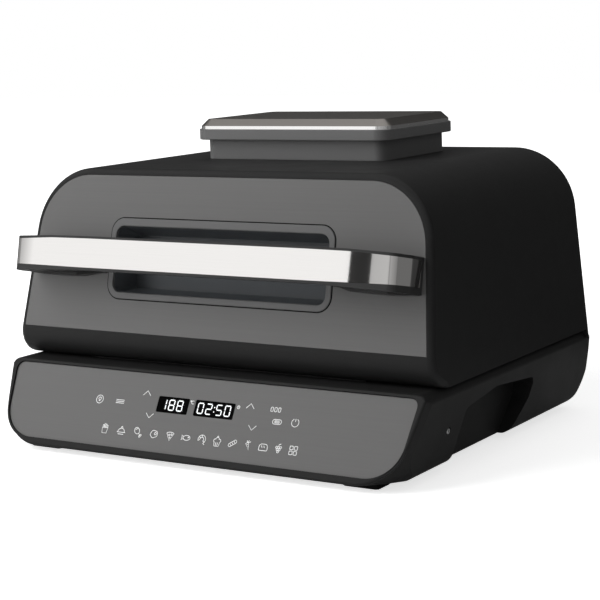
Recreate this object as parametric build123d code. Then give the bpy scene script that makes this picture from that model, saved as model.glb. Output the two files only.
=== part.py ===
from build123d import *
from math import cos, radians, sin, tan
import os

# A countertop air fryer grill: a low base with a pot well and sloping control panel,
# and a tall lid on a rear hinge with a fan, a heating element and a raised motor cover.
# Frame: +Z up, front towards -Y, origin at the middle of the footprint on the table.

# Overall shape of the base
FRONT_Y = -183.6
REAR_Y = 182.2
FLOOR_Z = 5.2
DECK_Z = 74.0
BASE_HALF = 213.2
BASE_TAPER = 0.20
BASE_CORNER = 10.0
FRONT_CORNER = 50.0
FRONT_BLEND = 42.0
SHOULDER = 8.0
PANEL_TILT = 29.0
REAR_HEEL = 38.0
REAR_CORNER = 14.0
BASE_WALL = 2.6
FRONT_WALL = 5.8
RIM_ROUND = 2.0

# Overall shape of the lid
SPLIT_Z = 74.8
LID_TOP = 242.3
LID_HALF = 213.9
LID_TAPER = 0.10
LID_CORNER = 59.0
LID_REAR = 177.8
FASCIA_TILT = 12.34
FASCIA_Y = -134.4
FASCIA_Z = 102.0
FASCIA_MARGIN = 5.5
FASCIA_THICK = 1.8
LID_WALL = 2.5
LID_FRONT_WALL = 4.3
LID_REAR_ROUND = 15.0
CURL_LOW = 74.4

# Openings and fittings of the base
COVER_OPENING = (172.0, 148.0)
COVER_OPENING_Y = -20.0
COVER_OPENING_CORNER = 16.0
BOSS_X = 166.0
BOSS_Y = (-120.0, -15.0, 88.0)
BOSS_R = 4.5
GRIP_X = 188.5
GRIP_WALL = 2.5
GLAND_X = 150.0
GLAND_Z = 40.0
GLAND_R = 9.0
SIDE_SCREW_X = 203.2
SIDE_SCREW_Y = -100.0
SIDE_SCREW_Z = 35.7

# Hinge at the rear of the split
HINGE_Y = 170.0
HINGE_Z = 74.0
ROLL_R = 7.8
GROOVE_R = 8.6
PIN_R = 3.0
PIN_FIT = 0.05
KNUCKLE_R = 6.5
KNUCKLE_X = (130.0, 170.0)
EAR_X = ((125.0, 129.0), (171.0, 175.0))
ROLL_GAP_X = (124.0, 176.0)

# Cooking space, centred on the pot
POT_Y = 34.0
POT_RIM = (158.0, 110.0)
POT_BODY = (144.0, 96.0)
POT_CORNER = 22.0
POT_FLOOR = 18.0
POT_WALL = 2.0
WELL_BODY = (152.0, 104.0)
WELL_FLANGE = (173.0, 124.0)
GASKET_OUTER = (175.0, 123.6)
GASKET_INNER = (171.0, 120.8)
WELL_FLOOR = 12.0
SHEET = 1.0
LINER_HALF = (168.0, 119.0)
LINER_TOP = 186.0
LINER_CORNER = 24.0
RING_Y = (-106.6, 161.4)

# Grill plate inside the pot
GRILL_HALF = (132.0, 84.0)
GRILL_Z = (26.0, 32.0)
GRILL_RIB_Z = 39.0
GRILL_BARS = 13

# Heating element, probe and guard under the roof of the liner
ELEMENT_HALF = (112.0, 78.0)
ELEMENT_Y = 40.0
ELEMENT_R = 3.4
ELEMENT_Z = 160.0
ELEMENT_END_X = 14.0
PROBE_X = 60.0
PROBE_Z = 156.0
GUARD_Z = (146.0, 147.2)

# Fan and motor column
FAN_Y = 54.0
SHAFT_R = 4.0
SHAFT_FIT = 0.05
MOTOR_R = 34.0
MOTOR_Z = (224.0, 262.0)
STANDOFFS = [(x, FAN_Y + y) for x in (-70, 70) for y in (-52, 52)]
BRACKET_Z = (220.0, 223.9)

# Motor cover on top of the lid
COVER_HALF = 94.4
COVER_Y = (3.2, 120.0)
COVER_CORNER = 10.0
COVER_Z = 260.2
TRAY_HALF = 102.3
TRAY_Y = (-4.2, 126.6)
TRAY_CORNER = 15.0
TRAY_Z = 269.9
CAP_INSET = 2.0
CAP_TOP_Z = 278.8
CAP_BEVEL = 6.6
CAP_BAND = 2.9
CAP_SKIN = 2.0

# Control panel, measured in its own sloping plane
PANEL_ORIGIN = (0, -145.3, 71.1)
PANEL_LENGTH = 68.6
PANEL_HALF = (205.6, 198.7)
PANEL_CORNERS = (7.5, 32.0)
PANEL_THICK = 2.0
WINDOWS = ((-25.7, 32.2), (16.9, 40.1))
WINDOW_V = (-33.3, -19.1)
WINDOW_CORNER = 1.2
UPPER_KEYS = ((-104, -28), (-81, -28), (-51, -19), (-48, -36), (54, -20), (57, -37), (80, -30), (98, -30))
FOOD_KEYS = 13
FOOD_KEY_START = -90
FOOD_KEY_PITCH = 16
FOOD_KEY_V = -49.5
KEY_PAD_R = 2.4

# Finger recess and handle, measured in the fascia's plane from its lower edge
RECESS_HALF = 114.5
RECESS_V = (29.6, 100.3)
RECESS_CORNER = 13.0
BEZEL_SIDE = 5.4
BEZEL_LOW = 5.6
BEZEL_HIGH = 7.0
RECESS_DEPTH = 26.0
CUP_WALL = 2.0
CUP_TAPER = 12
HANDLE_OUT = 39.3
HANDLE_END = 197.8
HANDLE_FLAT_X = 148.0
HANDLE_TIP_X = 190.5
HANDLE_TIP_DROP = 2.2
HANDLE_CORNER = 8.6
STRIP_THICK = 1.2
STRIP_V = (53.3, 78.4)
STRIP_END_V = (53.9, 75.4)
FRAME_V = (51.0, 80.4)
FRAME_END_V = (48.0, 78.0)
HANDLE_SCREWS = [(x, v) for x in (-178, 178) for v in (58, 71)]

# Feet
FOOT_HALF = (17.0, 11.0)
FOOT_X = 161.0
FOOT_FRONT_Y = -157.0
FOOT_REAR_Y = 112.0

os.makedirs("parts", exist_ok=True)


def along_x(sketch, x0, x1):
    """Solid from a sketch drawn as (y, z), standing between two x values."""
    return extrude(Plane.YZ.offset(x0) * sketch, amount=x1 - x0)


def along_y(sketch, y0, y1):
    """Solid from a sketch drawn as (x, z), standing between two y values."""
    return extrude(Plane.XZ.offset(-y1) * sketch, amount=y1 - y0)


def along_z(sketch, z0, z1):
    """Solid from a sketch drawn as (x, y), standing between two z values."""
    return extrude(Plane.XY.offset(z0) * sketch, amount=z1 - z0)


def slab(x, y, z):
    """Box between the low and high limits on each axis."""
    size = [high - low for low, high in (x, y, z)]
    middle = [(high + low) / 2 for low, high in (x, y, z)]
    return Pos(*middle) * Box(*size)


def rounded(half_x, half_y, radius, y=0.0):
    """Rounded rectangle sketch centred at (0, y)."""
    return Pos(0, y) * RectangleRounded(2 * half_x, 2 * half_y, radius)


def rod_z(x, y, z0, z1, radius):
    return Pos(x, y, (z0 + z1) / 2) * Cylinder(radius, z1 - z0)


def rod_x(x0, x1, y, z, radius):
    return Pos((x0 + x1) / 2, y, z) * Rot(0, 90, 0) * Cylinder(radius, x1 - x0)


def polygon(points):
    return make_face(Polyline(*points, close=True))


def on_plane(shape, plane, tolerance=0.02):
    """Edges of a shape that lie in a plane."""
    def height(point):
        return abs((point - plane.origin).dot(plane.z_dir))
    return [e for e in shape.edges() if max(height(e @ t) for t in (0, 0.5, 1)) < tolerance]


def both_sides(shape):
    """A shape on the right and its mirror on the left, as separate solids."""
    return Compound(children=[*shape.solids(), *mirror(shape, Plane.YZ).solids()])


def group(shapes):
    return Compound(children=[solid for shape in shapes for solid in shape.solids()])


panel_plane = Plane(
    origin=PANEL_ORIGIN,
    x_dir=(1, 0, 0),
    z_dir=(0, -cos(radians(PANEL_TILT)), sin(radians(PANEL_TILT))),
)
fascia_plane = Plane(
    origin=(0, FASCIA_Y, FASCIA_Z),
    x_dir=(1, 0, 0),
    z_dir=(0, -cos(radians(FASCIA_TILT)), sin(radians(FASCIA_TILT))),
)


# Base

def base_front_outline(inset=0.0, low=FLOOR_Z, high=DECK_Z):
    """Front view of the base: tapering sides, round lower corners, soft shoulders."""
    top_half = BASE_HALF - inset
    low_half = BASE_HALF - BASE_TAPER * (DECK_Z - low) - inset
    face = polygon([(-low_half, low), (low_half, low), (top_half, high), (-top_half, high)])
    face = fillet(face.vertices().group_by(Axis.Y)[0], BASE_CORNER - inset)
    return fillet(face.vertices().group_by(Axis.Y)[-1], SHOULDER - inset)


def base_side_profile():
    """Side view of the base: sloping front, flat deck, hinge groove and round heel."""
    slope_y = FRONT_Y + (DECK_Z - FLOOR_Z) * tan(radians(PANEL_TILT))
    groove_start = (HINGE_Y - GROOVE_R, HINGE_Z)
    groove_low = (HINGE_Y - 4.0, HINGE_Z - 7.61)
    groove_end = (HINGE_Y + 4.0, HINGE_Z - 7.61)
    heel_top = (REAR_Y, FLOOR_Z + REAR_HEEL)
    heel_low = (REAR_Y - REAR_HEEL, FLOOR_Z)
    heel_mid = (
        REAR_Y - REAR_HEEL * (1 - cos(radians(45))),
        FLOOR_Z + REAR_HEEL * (1 - sin(radians(45))),
    )
    edges = [
        Line((FRONT_Y, FLOOR_Z), (slope_y, DECK_Z)),
        Line((slope_y, DECK_Z), groove_start),
        ThreePointArc(groove_start, groove_low, groove_end),
        Line(groove_end, (REAR_Y, HINGE_Z - 6.1)),
        Line((REAR_Y, HINGE_Z - 6.1), heel_top),
        ThreePointArc(heel_top, heel_mid, heel_low),
        Line(heel_low, (FRONT_Y, FLOOR_Z)),
    ]
    return make_face(edges)


def front_section(depth, inset):
    """Outline of the base seen square to its sloping front, at a depth behind it."""
    tilt = radians(PANEL_TILT)
    share = min(depth / FRONT_BLEND, 1.0)
    grow = -1.5 + 6.0 * share - inset
    corner = BASE_CORNER + (FRONT_CORNER - BASE_CORNER) * (1 - share) ** 2
    low_half = BASE_HALF - BASE_TAPER * (DECK_Z - FLOOR_Z) + grow
    low = depth * tan(tilt) - 0.4 + inset
    high = (DECK_Z + 6 - FLOOR_Z + depth * sin(tilt)) / cos(tilt)
    top_half = BASE_HALF + BASE_TAPER * 6 + grow
    face = polygon([(-low_half, low), (low_half, low), (top_half, high), (-top_half, high)])
    plane = Plane(origin=(0, FRONT_Y, FLOOR_Z), x_dir=(1, 0, 0), z_dir=panel_plane.z_dir)
    return plane.offset(-depth) * fillet(face.vertices().group_by(Axis.Y)[0], corner - inset)


def front_limit(inset=0.0):
    """Body that rounds off the two lower front corners, with the whole rear left free."""
    steps = [FRONT_BLEND * share for share in (0, 0.35, 0.7, 1)]
    nose = loft([front_section(depth, inset) for depth in steps], ruled=True)
    plane = Plane(origin=(0, FRONT_Y, FLOOR_Z), x_dir=(1, 0, 0), z_dir=panel_plane.z_dir)
    rest = plane.offset(-FRONT_BLEND) * Rectangle(900, 900)
    return nose + extrude(rest, amount=-500)


def base_outer():
    plan = polygon([(-BASE_HALF, FRONT_Y), (BASE_HALF, FRONT_Y), (BASE_HALF, REAR_Y), (-BASE_HALF, REAR_Y)])
    plan = fillet(plan.vertices().group_by(Axis.Y)[-1], REAR_CORNER)
    solid = along_y(base_front_outline(), FRONT_Y, REAR_Y)
    solid = solid & along_x(base_side_profile(), -BASE_HALF, BASE_HALF)
    solid = solid & along_z(plan, 0, DECK_Z + 1) & front_limit()
    front = Plane(origin=(0, FRONT_Y, FLOOR_Z), x_dir=(1, 0, 0), z_dir=panel_plane.z_dir)
    return fillet(on_plane(solid, front), RIM_ROUND)


def base_inner():
    """The hollow of the base, one wall inside its outer surface."""
    slope = tan(radians(PANEL_TILT))
    front_shift = FRONT_WALL / cos(radians(PANEL_TILT))
    low = FLOOR_Z + BASE_WALL
    high = DECK_Z - BASE_WALL
    y_low = FRONT_Y + front_shift + BASE_WALL * slope
    y_high = y_low + (high - low) * slope
    heel = REAR_HEEL - BASE_WALL
    heel_mid = (
        REAR_Y - BASE_WALL - heel * (1 - cos(radians(45))),
        low + heel * (1 - sin(radians(45))),
    )
    ledge_z = HINGE_Z - GROOVE_R - BASE_WALL
    ledge_y = HINGE_Y - GROOVE_R - BASE_WALL
    edges = [
        Line((y_low, low), (y_high, high)),
        Line((y_high, high), (ledge_y, high)),
        Line((ledge_y, high), (ledge_y, ledge_z)),
        Line((ledge_y, ledge_z), (REAR_Y - BASE_WALL, ledge_z)),
        Line((REAR_Y - BASE_WALL, ledge_z), (REAR_Y - BASE_WALL, low + heel)),
        ThreePointArc((REAR_Y - BASE_WALL, low + heel), heel_mid, (REAR_Y - BASE_WALL - heel, low)),
        Line((REAR_Y - BASE_WALL - heel, low), (y_low, low)),
    ]
    outline = base_front_outline(BASE_WALL, low, high)
    half = BASE_HALF - BASE_WALL
    rear = REAR_Y - BASE_WALL
    plan = polygon([(-half, FRONT_Y), (half, FRONT_Y), (half, rear), (-half, rear)])
    plan = fillet(plan.vertices().group_by(Axis.Y)[-1], REAR_CORNER - BASE_WALL)
    solid = along_y(outline, FRONT_Y, REAR_Y) & along_x(make_face(edges), -half, half)
    return solid & along_z(plan, 0, DECK_Z) & front_limit(BASE_WALL)


def grip_outline(grow=0.0):
    """Side hand grip, open at the bottom edge, drawn as (y, z)."""
    face = polygon([(-94, -12), (-72, 49), (-18, 57), (60, 50), (54, 32), (4, -12)])
    face = fillet(face.vertices().filter_by_position(Axis.Y, 20, 60), 6.0)
    return offset(face, grow) if grow else face


def panel_outline(shrink=0.0):
    top, low = PANEL_HALF
    face = polygon([(-top, 0), (top, 0), (low, -PANEL_LENGTH), (-low, -PANEL_LENGTH)])
    face = fillet(face.vertices().group_by(Axis.Y)[-1], PANEL_CORNERS[0])
    face = fillet(face.vertices().group_by(Axis.Y)[0], PANEL_CORNERS[1])
    return offset(face, -shrink) if shrink else face


def deck_bead():
    """Low rounded bead across the deck just in front of the lid."""
    return slab((-140, 140), (-117.0, -115.4), (DECK_Z - 0.5, DECK_Z + 0.7))


def base_housing():
    outer = base_outer()
    shell = outer - base_inner()
    grip = along_x(grip_outline(GRIP_WALL), GRIP_X - GRIP_WALL, BASE_HALF) & outer
    places = [(x, y) for x in (-BOSS_X, BOSS_X) for y in BOSS_Y]
    bosses = [rod_z(x, y, FLOOR_Z + BASE_WALL, DECK_Z - 1, BOSS_R) for x, y in places]
    shell = shell + grip + mirror(grip, Plane.YZ) + bosses + deck_bead()
    hole = along_x(grip_outline(), GRIP_X, BASE_HALF + 5)
    shell = shell - hole - mirror(hole, Plane.YZ)
    shell -= along_z(rounded(*COVER_OPENING, COVER_OPENING_CORNER, COVER_OPENING_Y), 0, FLOOR_Z + BASE_WALL)
    shell -= along_z(rounded(*WELL_FLANGE, LINER_CORNER + 12, POT_Y), DECK_Z - SHEET, DECK_Z + 1)
    shell -= along_z(rounded(WELL_BODY[0] + 0.5, WELL_BODY[1] + 0.5, LINER_CORNER, POT_Y), 60, DECK_Z + 1)
    pocket_top = RIM_ROUND + 2
    shell -= extrude(panel_plane.offset(-PANEL_THICK) * panel_outline(), amount=PANEL_THICK + pocket_top)
    shell -= extrude(panel_plane.offset(-12) * (Pos(0, -34) * RectangleRounded(250, 46, 6)), amount=12)
    shell -= [rod_z(x, y, 0, 30, 1.25) for x, y in places]
    for side in (-1, 1):
        for low, high in EAR_X:
            x_pair = sorted((side * (low - 0.4), side * (high + 0.4)))
            shell -= slab(x_pair, (162.8, 177.2), (58, 76))
        reach = [side * (SIDE_SCREW_X + offset) for offset in (-15.6, -16.1, 0.9, 3.9, 0.0, 23.9)]
        shell += rod_x(*sorted((reach[0], reach[2])), SIDE_SCREW_Y, SIDE_SCREW_Z, 4.5)
        shell -= rod_x(*sorted((reach[1], reach[3])), SIDE_SCREW_Y, SIDE_SCREW_Z, 1.55)
        shell -= rod_x(*sorted((reach[4], reach[5])), SIDE_SCREW_Y, SIDE_SCREW_Z, 3.2)
    shell -= Pos(GLAND_X, REAR_Y - 10, GLAND_Z) * Rot(90, 0, 0) * Cylinder(GLAND_R, 40)
    return shell


def bottom_cover():
    half_x, half_y = (half - 0.3 for half in COVER_OPENING)
    outline = rounded(half_x, half_y, COVER_OPENING_CORNER - 0.3, COVER_OPENING_Y)
    cover = along_z(outline, FLOOR_Z, FLOOR_Z + 2.4)
    for row in range(9):
        for side in (-1, 1):
            cover -= slab(sorted((side * 30, side * 110)), (-80 + 14 * row, -76.5 + 14 * row), (0, 20))
    cover -= [rod_z(x, y, 0, 20, 2.2) for x in (-BOSS_X, BOSS_X) for y in BOSS_Y]
    cover -= [rod_z(x, y, 0, 20, 3.1) for x in (-FOOT_X, FOOT_X) for y in (FOOT_FRONT_Y, FOOT_REAR_Y)]
    return cover


def foot(x, y):
    """Rubber foot with a stem that plugs into the bottom cover."""
    pad = Pos(x, y) * along_z(rounded(*FOOT_HALF, 4.0), 0, FLOOR_Z - 0.02)
    pad = fillet(pad.edges().sort_by(Axis.Z)[0], 1.5)
    return pad + rod_z(x, y, FLOOR_Z - 0.1, FLOOR_Z + 3.4, 3.0)


def feet():
    return group(foot(x, y) for x in (-FOOT_X, FOOT_X) for y in (FOOT_FRONT_Y, FOOT_REAR_Y))


def pot_well():
    """Sheet metal tray that the pot hangs in."""
    half_x, half_y = WELL_BODY
    outer = along_z(rounded(half_x, half_y, LINER_CORNER - 1, POT_Y), WELL_FLOOR, DECK_Z)
    inner = rounded(half_x - SHEET, half_y - SHEET, LINER_CORNER - 2, POT_Y)
    inner = along_z(inner, WELL_FLOOR + SHEET, DECK_Z + 1)
    flange_x, flange_y = (half - 0.2 for half in WELL_FLANGE)
    flange = along_z(rounded(flange_x, flange_y, LINER_CORNER + 11.8, POT_Y), DECK_Z - SHEET, DECK_Z)
    return outer + flange - inner


def cooking_pot():
    rim_x, rim_y = POT_RIM
    half_x, half_y = POT_BODY
    outer = along_z(rounded(half_x, half_y, POT_CORNER, POT_Y), POT_FLOOR, DECK_Z + 1.6)
    outer = fillet(outer.edges().group_by(Axis.Z)[0], 10)
    rim = along_z(rounded(rim_x, rim_y, POT_CORNER + 8, POT_Y), DECK_Z + 0.1, DECK_Z + 1.6)
    inner = rounded(half_x - POT_WALL, half_y - POT_WALL, POT_CORNER - POT_WALL, POT_Y)
    inner = along_z(inner, POT_FLOOR + POT_WALL, DECK_Z + 5)
    inner = fillet(inner.edges().group_by(Axis.Z)[0], 8)
    return outer + rim - inner


def grill_plate():
    """Cast plate with long ribs, a drip slot between each pair, and four short legs."""
    plate = along_z(rounded(*GRILL_HALF, POT_CORNER - 6, POT_Y), *GRILL_Z)
    pitch = 2 * (GRILL_HALF[0] - 14) / (GRILL_BARS - 1)
    for index in range(GRILL_BARS):
        x = -GRILL_HALF[0] + 14 + pitch * index
        reach = GRILL_HALF[1] - (18 if 0 < index < GRILL_BARS - 1 else 30)
        plate += slab((x - 3, x + 3), (POT_Y - reach, POT_Y + reach), (GRILL_Z[1] - 1, GRILL_RIB_Z))
        if index < GRILL_BARS - 1:
            middle = x + pitch / 2
            plate -= slab((middle - 2, middle + 2), (POT_Y - 50, POT_Y + 50), (0, 60))
    legs = [rod_z(x, POT_Y + y, POT_FLOOR + POT_WALL + 0.05, GRILL_Z[0] + 1, 5)
            for x in (-106, 106) for y in (-62, 62)]
    return plate + legs


def window_sketch(shrink=0.0):
    height = WINDOW_V[1] - WINDOW_V[0] - 2 * shrink
    middle = (WINDOW_V[0] + WINDOW_V[1]) / 2
    return [Pos(x, middle) * RectangleRounded(width - 2 * shrink, height, WINDOW_CORNER)
            for x, width in WINDOWS]


def control_panel():
    plate = extrude(panel_plane.offset(-PANEL_THICK + 0.05) * panel_outline(0.35), amount=PANEL_THICK - 0.05)
    for sketch in window_sketch():
        plate -= extrude(panel_plane.offset(-PANEL_THICK) * sketch, amount=PANEL_THICK + 1)
    return plate


def display_windows():
    return group(extrude(panel_plane.offset(-PANEL_THICK + 0.1) * sketch, amount=PANEL_THICK - 0.15)
                 for sketch in window_sketch(0.1))


def control_board():
    return extrude(panel_plane.offset(-8.6) * (Pos(0, -34) * RectangleRounded(244, 40, 2)), amount=1.6)


def display_modules():
    return group(extrude(panel_plane.offset(-6.95) * sketch, amount=4.7) for sketch in window_sketch(-0.8))


def touch_contacts():
    """Sprung pads between the board and the back of the panel, one for each touch key."""
    keys = list(UPPER_KEYS)
    keys += [(FOOD_KEY_START + FOOD_KEY_PITCH * index, FOOD_KEY_V) for index in range(FOOD_KEYS)]
    return group(extrude(panel_plane.offset(-6.95) * (Pos(x, v) * Circle(KEY_PAD_R)), amount=4.85)
                 for x, v in keys)


def power_board():
    return slab((-120, 60), (-132, -88), (14, 15.6))


def board_parts():
    """Transformer, relay, capacitor and terminal block on the power board."""
    return group([
        slab((-112, -84), (-126, -98), (15.65, 38)),
        slab((-74, -56), (-128, -108), (15.65, 31)),
        rod_z(-42, -104, 15.65, 34, 6.5),
        slab((10, 52), (-104, -94), (15.65, 28)),
        rod_z(-30, -118, 15.65, 24, 5),
    ])


def cord_gland():
    """Strain relief bush in the rear wall, with a blind entry for the cord."""
    y_front = 168.0
    centre = Pos(GLAND_X, GLAND_Z)
    body = along_y(centre * Circle(GLAND_R - 0.2), y_front, REAR_Y)
    flange = along_y(centre * Circle(GLAND_R + 3), y_front - 3, y_front)
    return body + flange - along_y(centre * Circle(4.0), REAR_Y - 12, REAR_Y + 12)


def base_hinge():
    """Steel bracket under the groove with two ears that carry the pin."""
    low, high = KNUCKLE_X
    plate = slab((low - 10, high + 10), (159.5, 178.5), (59.0, 62.0))
    bracket = plate
    for ear_low, ear_high in EAR_X:
        bracket += slab((ear_low, ear_high), (163.5, 176.5), (61.0, HINGE_Z))
        bracket += rod_x(ear_low, ear_high, HINGE_Y, HINGE_Z, KNUCKLE_R)
    return bracket - rod_x(low - 20, high + 20, HINGE_Y, HINGE_Z, PIN_R)


def lid_hinge():
    """Steel leaf inside the lid's rear wall, rolled round the pin at its lower edge."""
    low, high = KNUCKLE_X
    leaf = slab((low, high), (172.6, LID_REAR - LID_WALL - 0.1), (HINGE_Z, 126.0))
    knuckle = rod_x(low, high, HINGE_Y, HINGE_Z, KNUCKLE_R)
    return leaf + knuckle - rod_x(low - 5, high + 5, HINGE_Y, HINGE_Z, PIN_R + PIN_FIT)


def hinge_pin():
    return rod_x(ROLL_GAP_X[0] + 0.4, ROLL_GAP_X[1] - 0.4, HINGE_Y, HINGE_Z, PIN_R)


# Lid

def lid_front_outline(inset, low):
    """Front view of the lid: tapering sides and large top corners."""
    top = LID_TOP - inset
    top_half = LID_HALF - LID_TAPER * (top - SPLIT_Z) - inset
    low_half = LID_HALF - LID_TAPER * (low - SPLIT_Z) - inset
    face = polygon([(-low_half, low), (low_half, low), (top_half, top), (-top_half, top)])
    return fillet(face.vertices().group_by(Axis.Y)[-1], LID_CORNER - inset)


def lid_block(inset, front_inset):
    """The lid's closed form, one inset inside its outer surface, down to below the split."""
    angle = radians(FASCIA_TILT)
    low = HINGE_Z - 14
    start = Vector(0, FASCIA_Y, FASCIA_Z) - fascia_plane.z_dir * front_inset
    radius = (FASCIA_Z - CURL_LOW) / (1 + sin(angle)) - front_inset
    centre = start - fascia_plane.z_dir * radius
    step_y = 120.0
    floor_z = SPLIT_Z if inset == 0 else SPLIT_Z - 3
    curl_end = centre.Z - radius
    if inset == 0:
        drop = centre.Z - floor_z
        end = (centre.Y - (radius ** 2 - drop ** 2) ** 0.5, floor_z)
    else:
        end = (centre.Y, curl_end)
    turn = radians(45)
    middle = (centre.Y - radius * cos(turn), centre.Z - radius * sin(turn))
    top = LID_TOP - inset
    top_y = start.Y + (top - start.Z) * tan(angle)
    rear = LID_REAR - inset
    edges = [
        Line((start.Y, start.Z), (top_y, top)),
        Line((top_y, top), (rear, top)),
        Line((rear, top), (rear, low)),
        Line((rear, low), (step_y, low)),
        Line((step_y, low), (step_y, floor_z)),
        Line((step_y, floor_z), (end[0], floor_z)),
        ThreePointArc(end, middle, (start.Y, start.Z)),
    ]
    if end[1] != floor_z:
        edges.insert(6, Line((end[0], floor_z), end))
    solid = along_x(make_face(edges), -LID_HALF - 5, LID_HALF + 5)
    solid = solid & along_y(lid_front_outline(inset, low), FRONT_Y, REAR_Y)
    rear_plane = Plane(origin=(0, rear, 0), x_dir=(1, 0, 0), z_dir=(0, 1, 0))
    rear_edges = [e for e in on_plane(solid, rear_plane) if (e @ 0.5).Z > low + 1]
    return fillet(rear_edges, LID_REAR_ROUND - inset)


def lid_bottom_profile(radius):
    """Side view limit of the lid: flat underside ending in a round roll on the hinge axis."""
    start = (HINGE_Y - radius, HINGE_Z)
    end = (HINGE_Y + radius, HINGE_Z)
    edges = [
        Line((-200, SPLIT_Z), (start[0], SPLIT_Z)),
        Line((start[0], SPLIT_Z), start),
        ThreePointArc(start, (HINGE_Y, HINGE_Z - radius), end),
        Line(end, (end[0], 300)),
        Line((end[0], 300), (-200, 300)),
        Line((-200, 300), (-200, SPLIT_Z)),
    ]
    return make_face(edges)


def lid_outer():
    solid = lid_block(0, 0)
    angle = radians(FASCIA_TILT)
    radius = (FASCIA_Z - CURL_LOW) / (1 + sin(angle))
    centre = Vector(0, FASCIA_Y, FASCIA_Z) - fascia_plane.z_dir * radius

    def on_curl(edge):
        points = [edge @ t for t in (0, 0.5, 1)]
        spread = max(abs(((p.Y - centre.Y) ** 2 + (p.Z - centre.Z) ** 2) ** 0.5 - radius) for p in points)
        return spread < 0.02 and (edge @ 0).Z != (edge @ 1).Z
    front = [e for e in on_plane(solid, fascia_plane) if (e @ 0.5).Z > FASCIA_Z + 1]
    curl = [e for e in solid.edges() if on_curl(e)]
    solid = fillet(front + curl, FASCIA_MARGIN)
    return solid & along_x(lid_bottom_profile(ROLL_R), -LID_HALF - 5, LID_HALF + 5)


def fascia_sheet(inset, thick, lift=0.0):
    """The flat front face of the lid, brought in from the lid's edge by an inset."""
    outline = along_y(lid_front_outline(inset, FASCIA_Z + (inset - FASCIA_MARGIN)), FRONT_Y, 0)
    sheet = extrude(fascia_plane.offset(-thick) * Pos(0, 75) * Rectangle(500, 220), amount=thick + lift)
    return sheet & outline


def recess_outline(grow_side, grow_low, grow_high, radius):
    half = RECESS_HALF + grow_side
    low = RECESS_V[0] - grow_low
    high = RECESS_V[1] + grow_high
    return Pos(0, (low + high) / 2) * RectangleRounded(2 * half, high - low, radius)


def recess_opening(inset=0.0):
    grow = [-margin - inset for margin in (BEZEL_SIDE, BEZEL_LOW, BEZEL_HIGH)]
    return recess_outline(*grow, RECESS_CORNER - 5 - inset)


def lid_shell():
    shell = lid_outer()
    hollow = lid_block(LID_WALL, LID_FRONT_WALL)
    shell -= hollow & along_x(lid_bottom_profile(ROLL_R - LID_WALL), -LID_HALF, LID_HALF)
    shell -= slab((-LID_HALF, LID_HALF), (-107.0, 160.0), (SPLIT_Z - 6, SPLIT_Z + 4)) & hollow
    shell -= fascia_sheet(FASCIA_MARGIN, FASCIA_THICK, 3)
    shell -= extrude(fascia_plane.offset(-12) * recess_outline(-1, -1, -1, RECESS_CORNER - 1), amount=20)
    shell -= along_z(rounded(80, 46, 10, 61), LID_TOP - 6, LID_TOP + 6)
    shell -= screw_holes(HANDLE_SCREWS, -12, 8, 1.7)
    for side in (-1, 1):
        x_pair = sorted((side * ROLL_GAP_X[0], side * ROLL_GAP_X[1]))
        shell -= slab(x_pair, (158.0, 180.0), (60.0, 82.5))
        for index in range(14):
            x = side * (44 + 8 * index)
            shell -= slab((x - 1.6, x + 1.6), (LID_REAR - 6, LID_REAR + 4), (160, 200))
    return shell


def lid_fascia():
    plate = fascia_sheet(FASCIA_MARGIN + 0.3, FASCIA_THICK - 0.05) - screw_holes(HANDLE_SCREWS, -12, 8, 1.7)
    return plate - extrude(fascia_plane.offset(-4) * recess_outline(0.3, 0.3, 0.3, RECESS_CORNER), amount=8)


def recess_bezel():
    outline = recess_outline(0, 0, 0, RECESS_CORNER)
    ring = extrude(fascia_plane.offset(-FASCIA_THICK) * outline, amount=FASCIA_THICK + 0.9)
    ring -= extrude(fascia_plane.offset(-4) * recess_opening(), amount=8)
    face = fascia_plane.offset(0.9)
    return chamfer(on_plane(ring, face), 0.5)


def recess_cup():
    """Closed pocket behind the bezel with even walls, tapering inwards."""
    flange_plane = fascia_plane.offset(-FASCIA_THICK - 0.05)
    flange = extrude(flange_plane * recess_outline(-1.3, -1.3, -1.3, 11), amount=-2)
    outer = extrude(flange_plane * recess_opening(-CUP_WALL), amount=-RECESS_DEPTH, taper=CUP_TAPER)
    inner = extrude(fascia_plane * recess_opening(), amount=-RECESS_DEPTH, taper=CUP_TAPER)
    return flange + outer - inner


def handle_outer_face(shrink=0.0):
    """Top view of the bar with its two end legs, drawn as (x, out)."""
    root = (HANDLE_END - 1, 0)
    side = (HANDLE_END, 20)
    tip = (HANDLE_TIP_X, HANDLE_OUT - HANDLE_TIP_DROP)
    middle = ((HANDLE_FLAT_X + HANDLE_TIP_X) / 2, HANDLE_OUT - HANDLE_TIP_DROP / 4)
    flat = (HANDLE_FLAT_X, HANDLE_OUT)
    edges = []
    for sign in (1, -1):
        corner, elbow, nose, bend, start = [(sign * x, v) for x, v in (root, side, tip, middle, flat)]
        edges += [Line(corner, elbow), Line(elbow, nose), ThreePointArc(nose, bend, start)]
    edges += [Line(flat, (-flat[0], flat[1])), Line(root, (-root[0], root[1]))]
    face = make_face(edges)
    bent = [v for v in face.vertices() if abs(v.X) > HANDLE_FLAT_X + 10 and v.Y > 15]
    face = fillet(bent, HANDLE_CORNER)
    return offset(face, -shrink) if shrink else face


def handle_band(low_v, high_v, low_end, high_end):
    """Front view of the handle in the fascia's plane, narrower towards its ends."""
    low = [(-200, low_end), (-120, low_v), (120, low_v), (200, low_end)]
    high = [(200, high_end), (150, high_v - 0.4), (110, high_v)]
    high += [(-x, v) for x, v in reversed(high)]
    return polygon(low + high)


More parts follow.
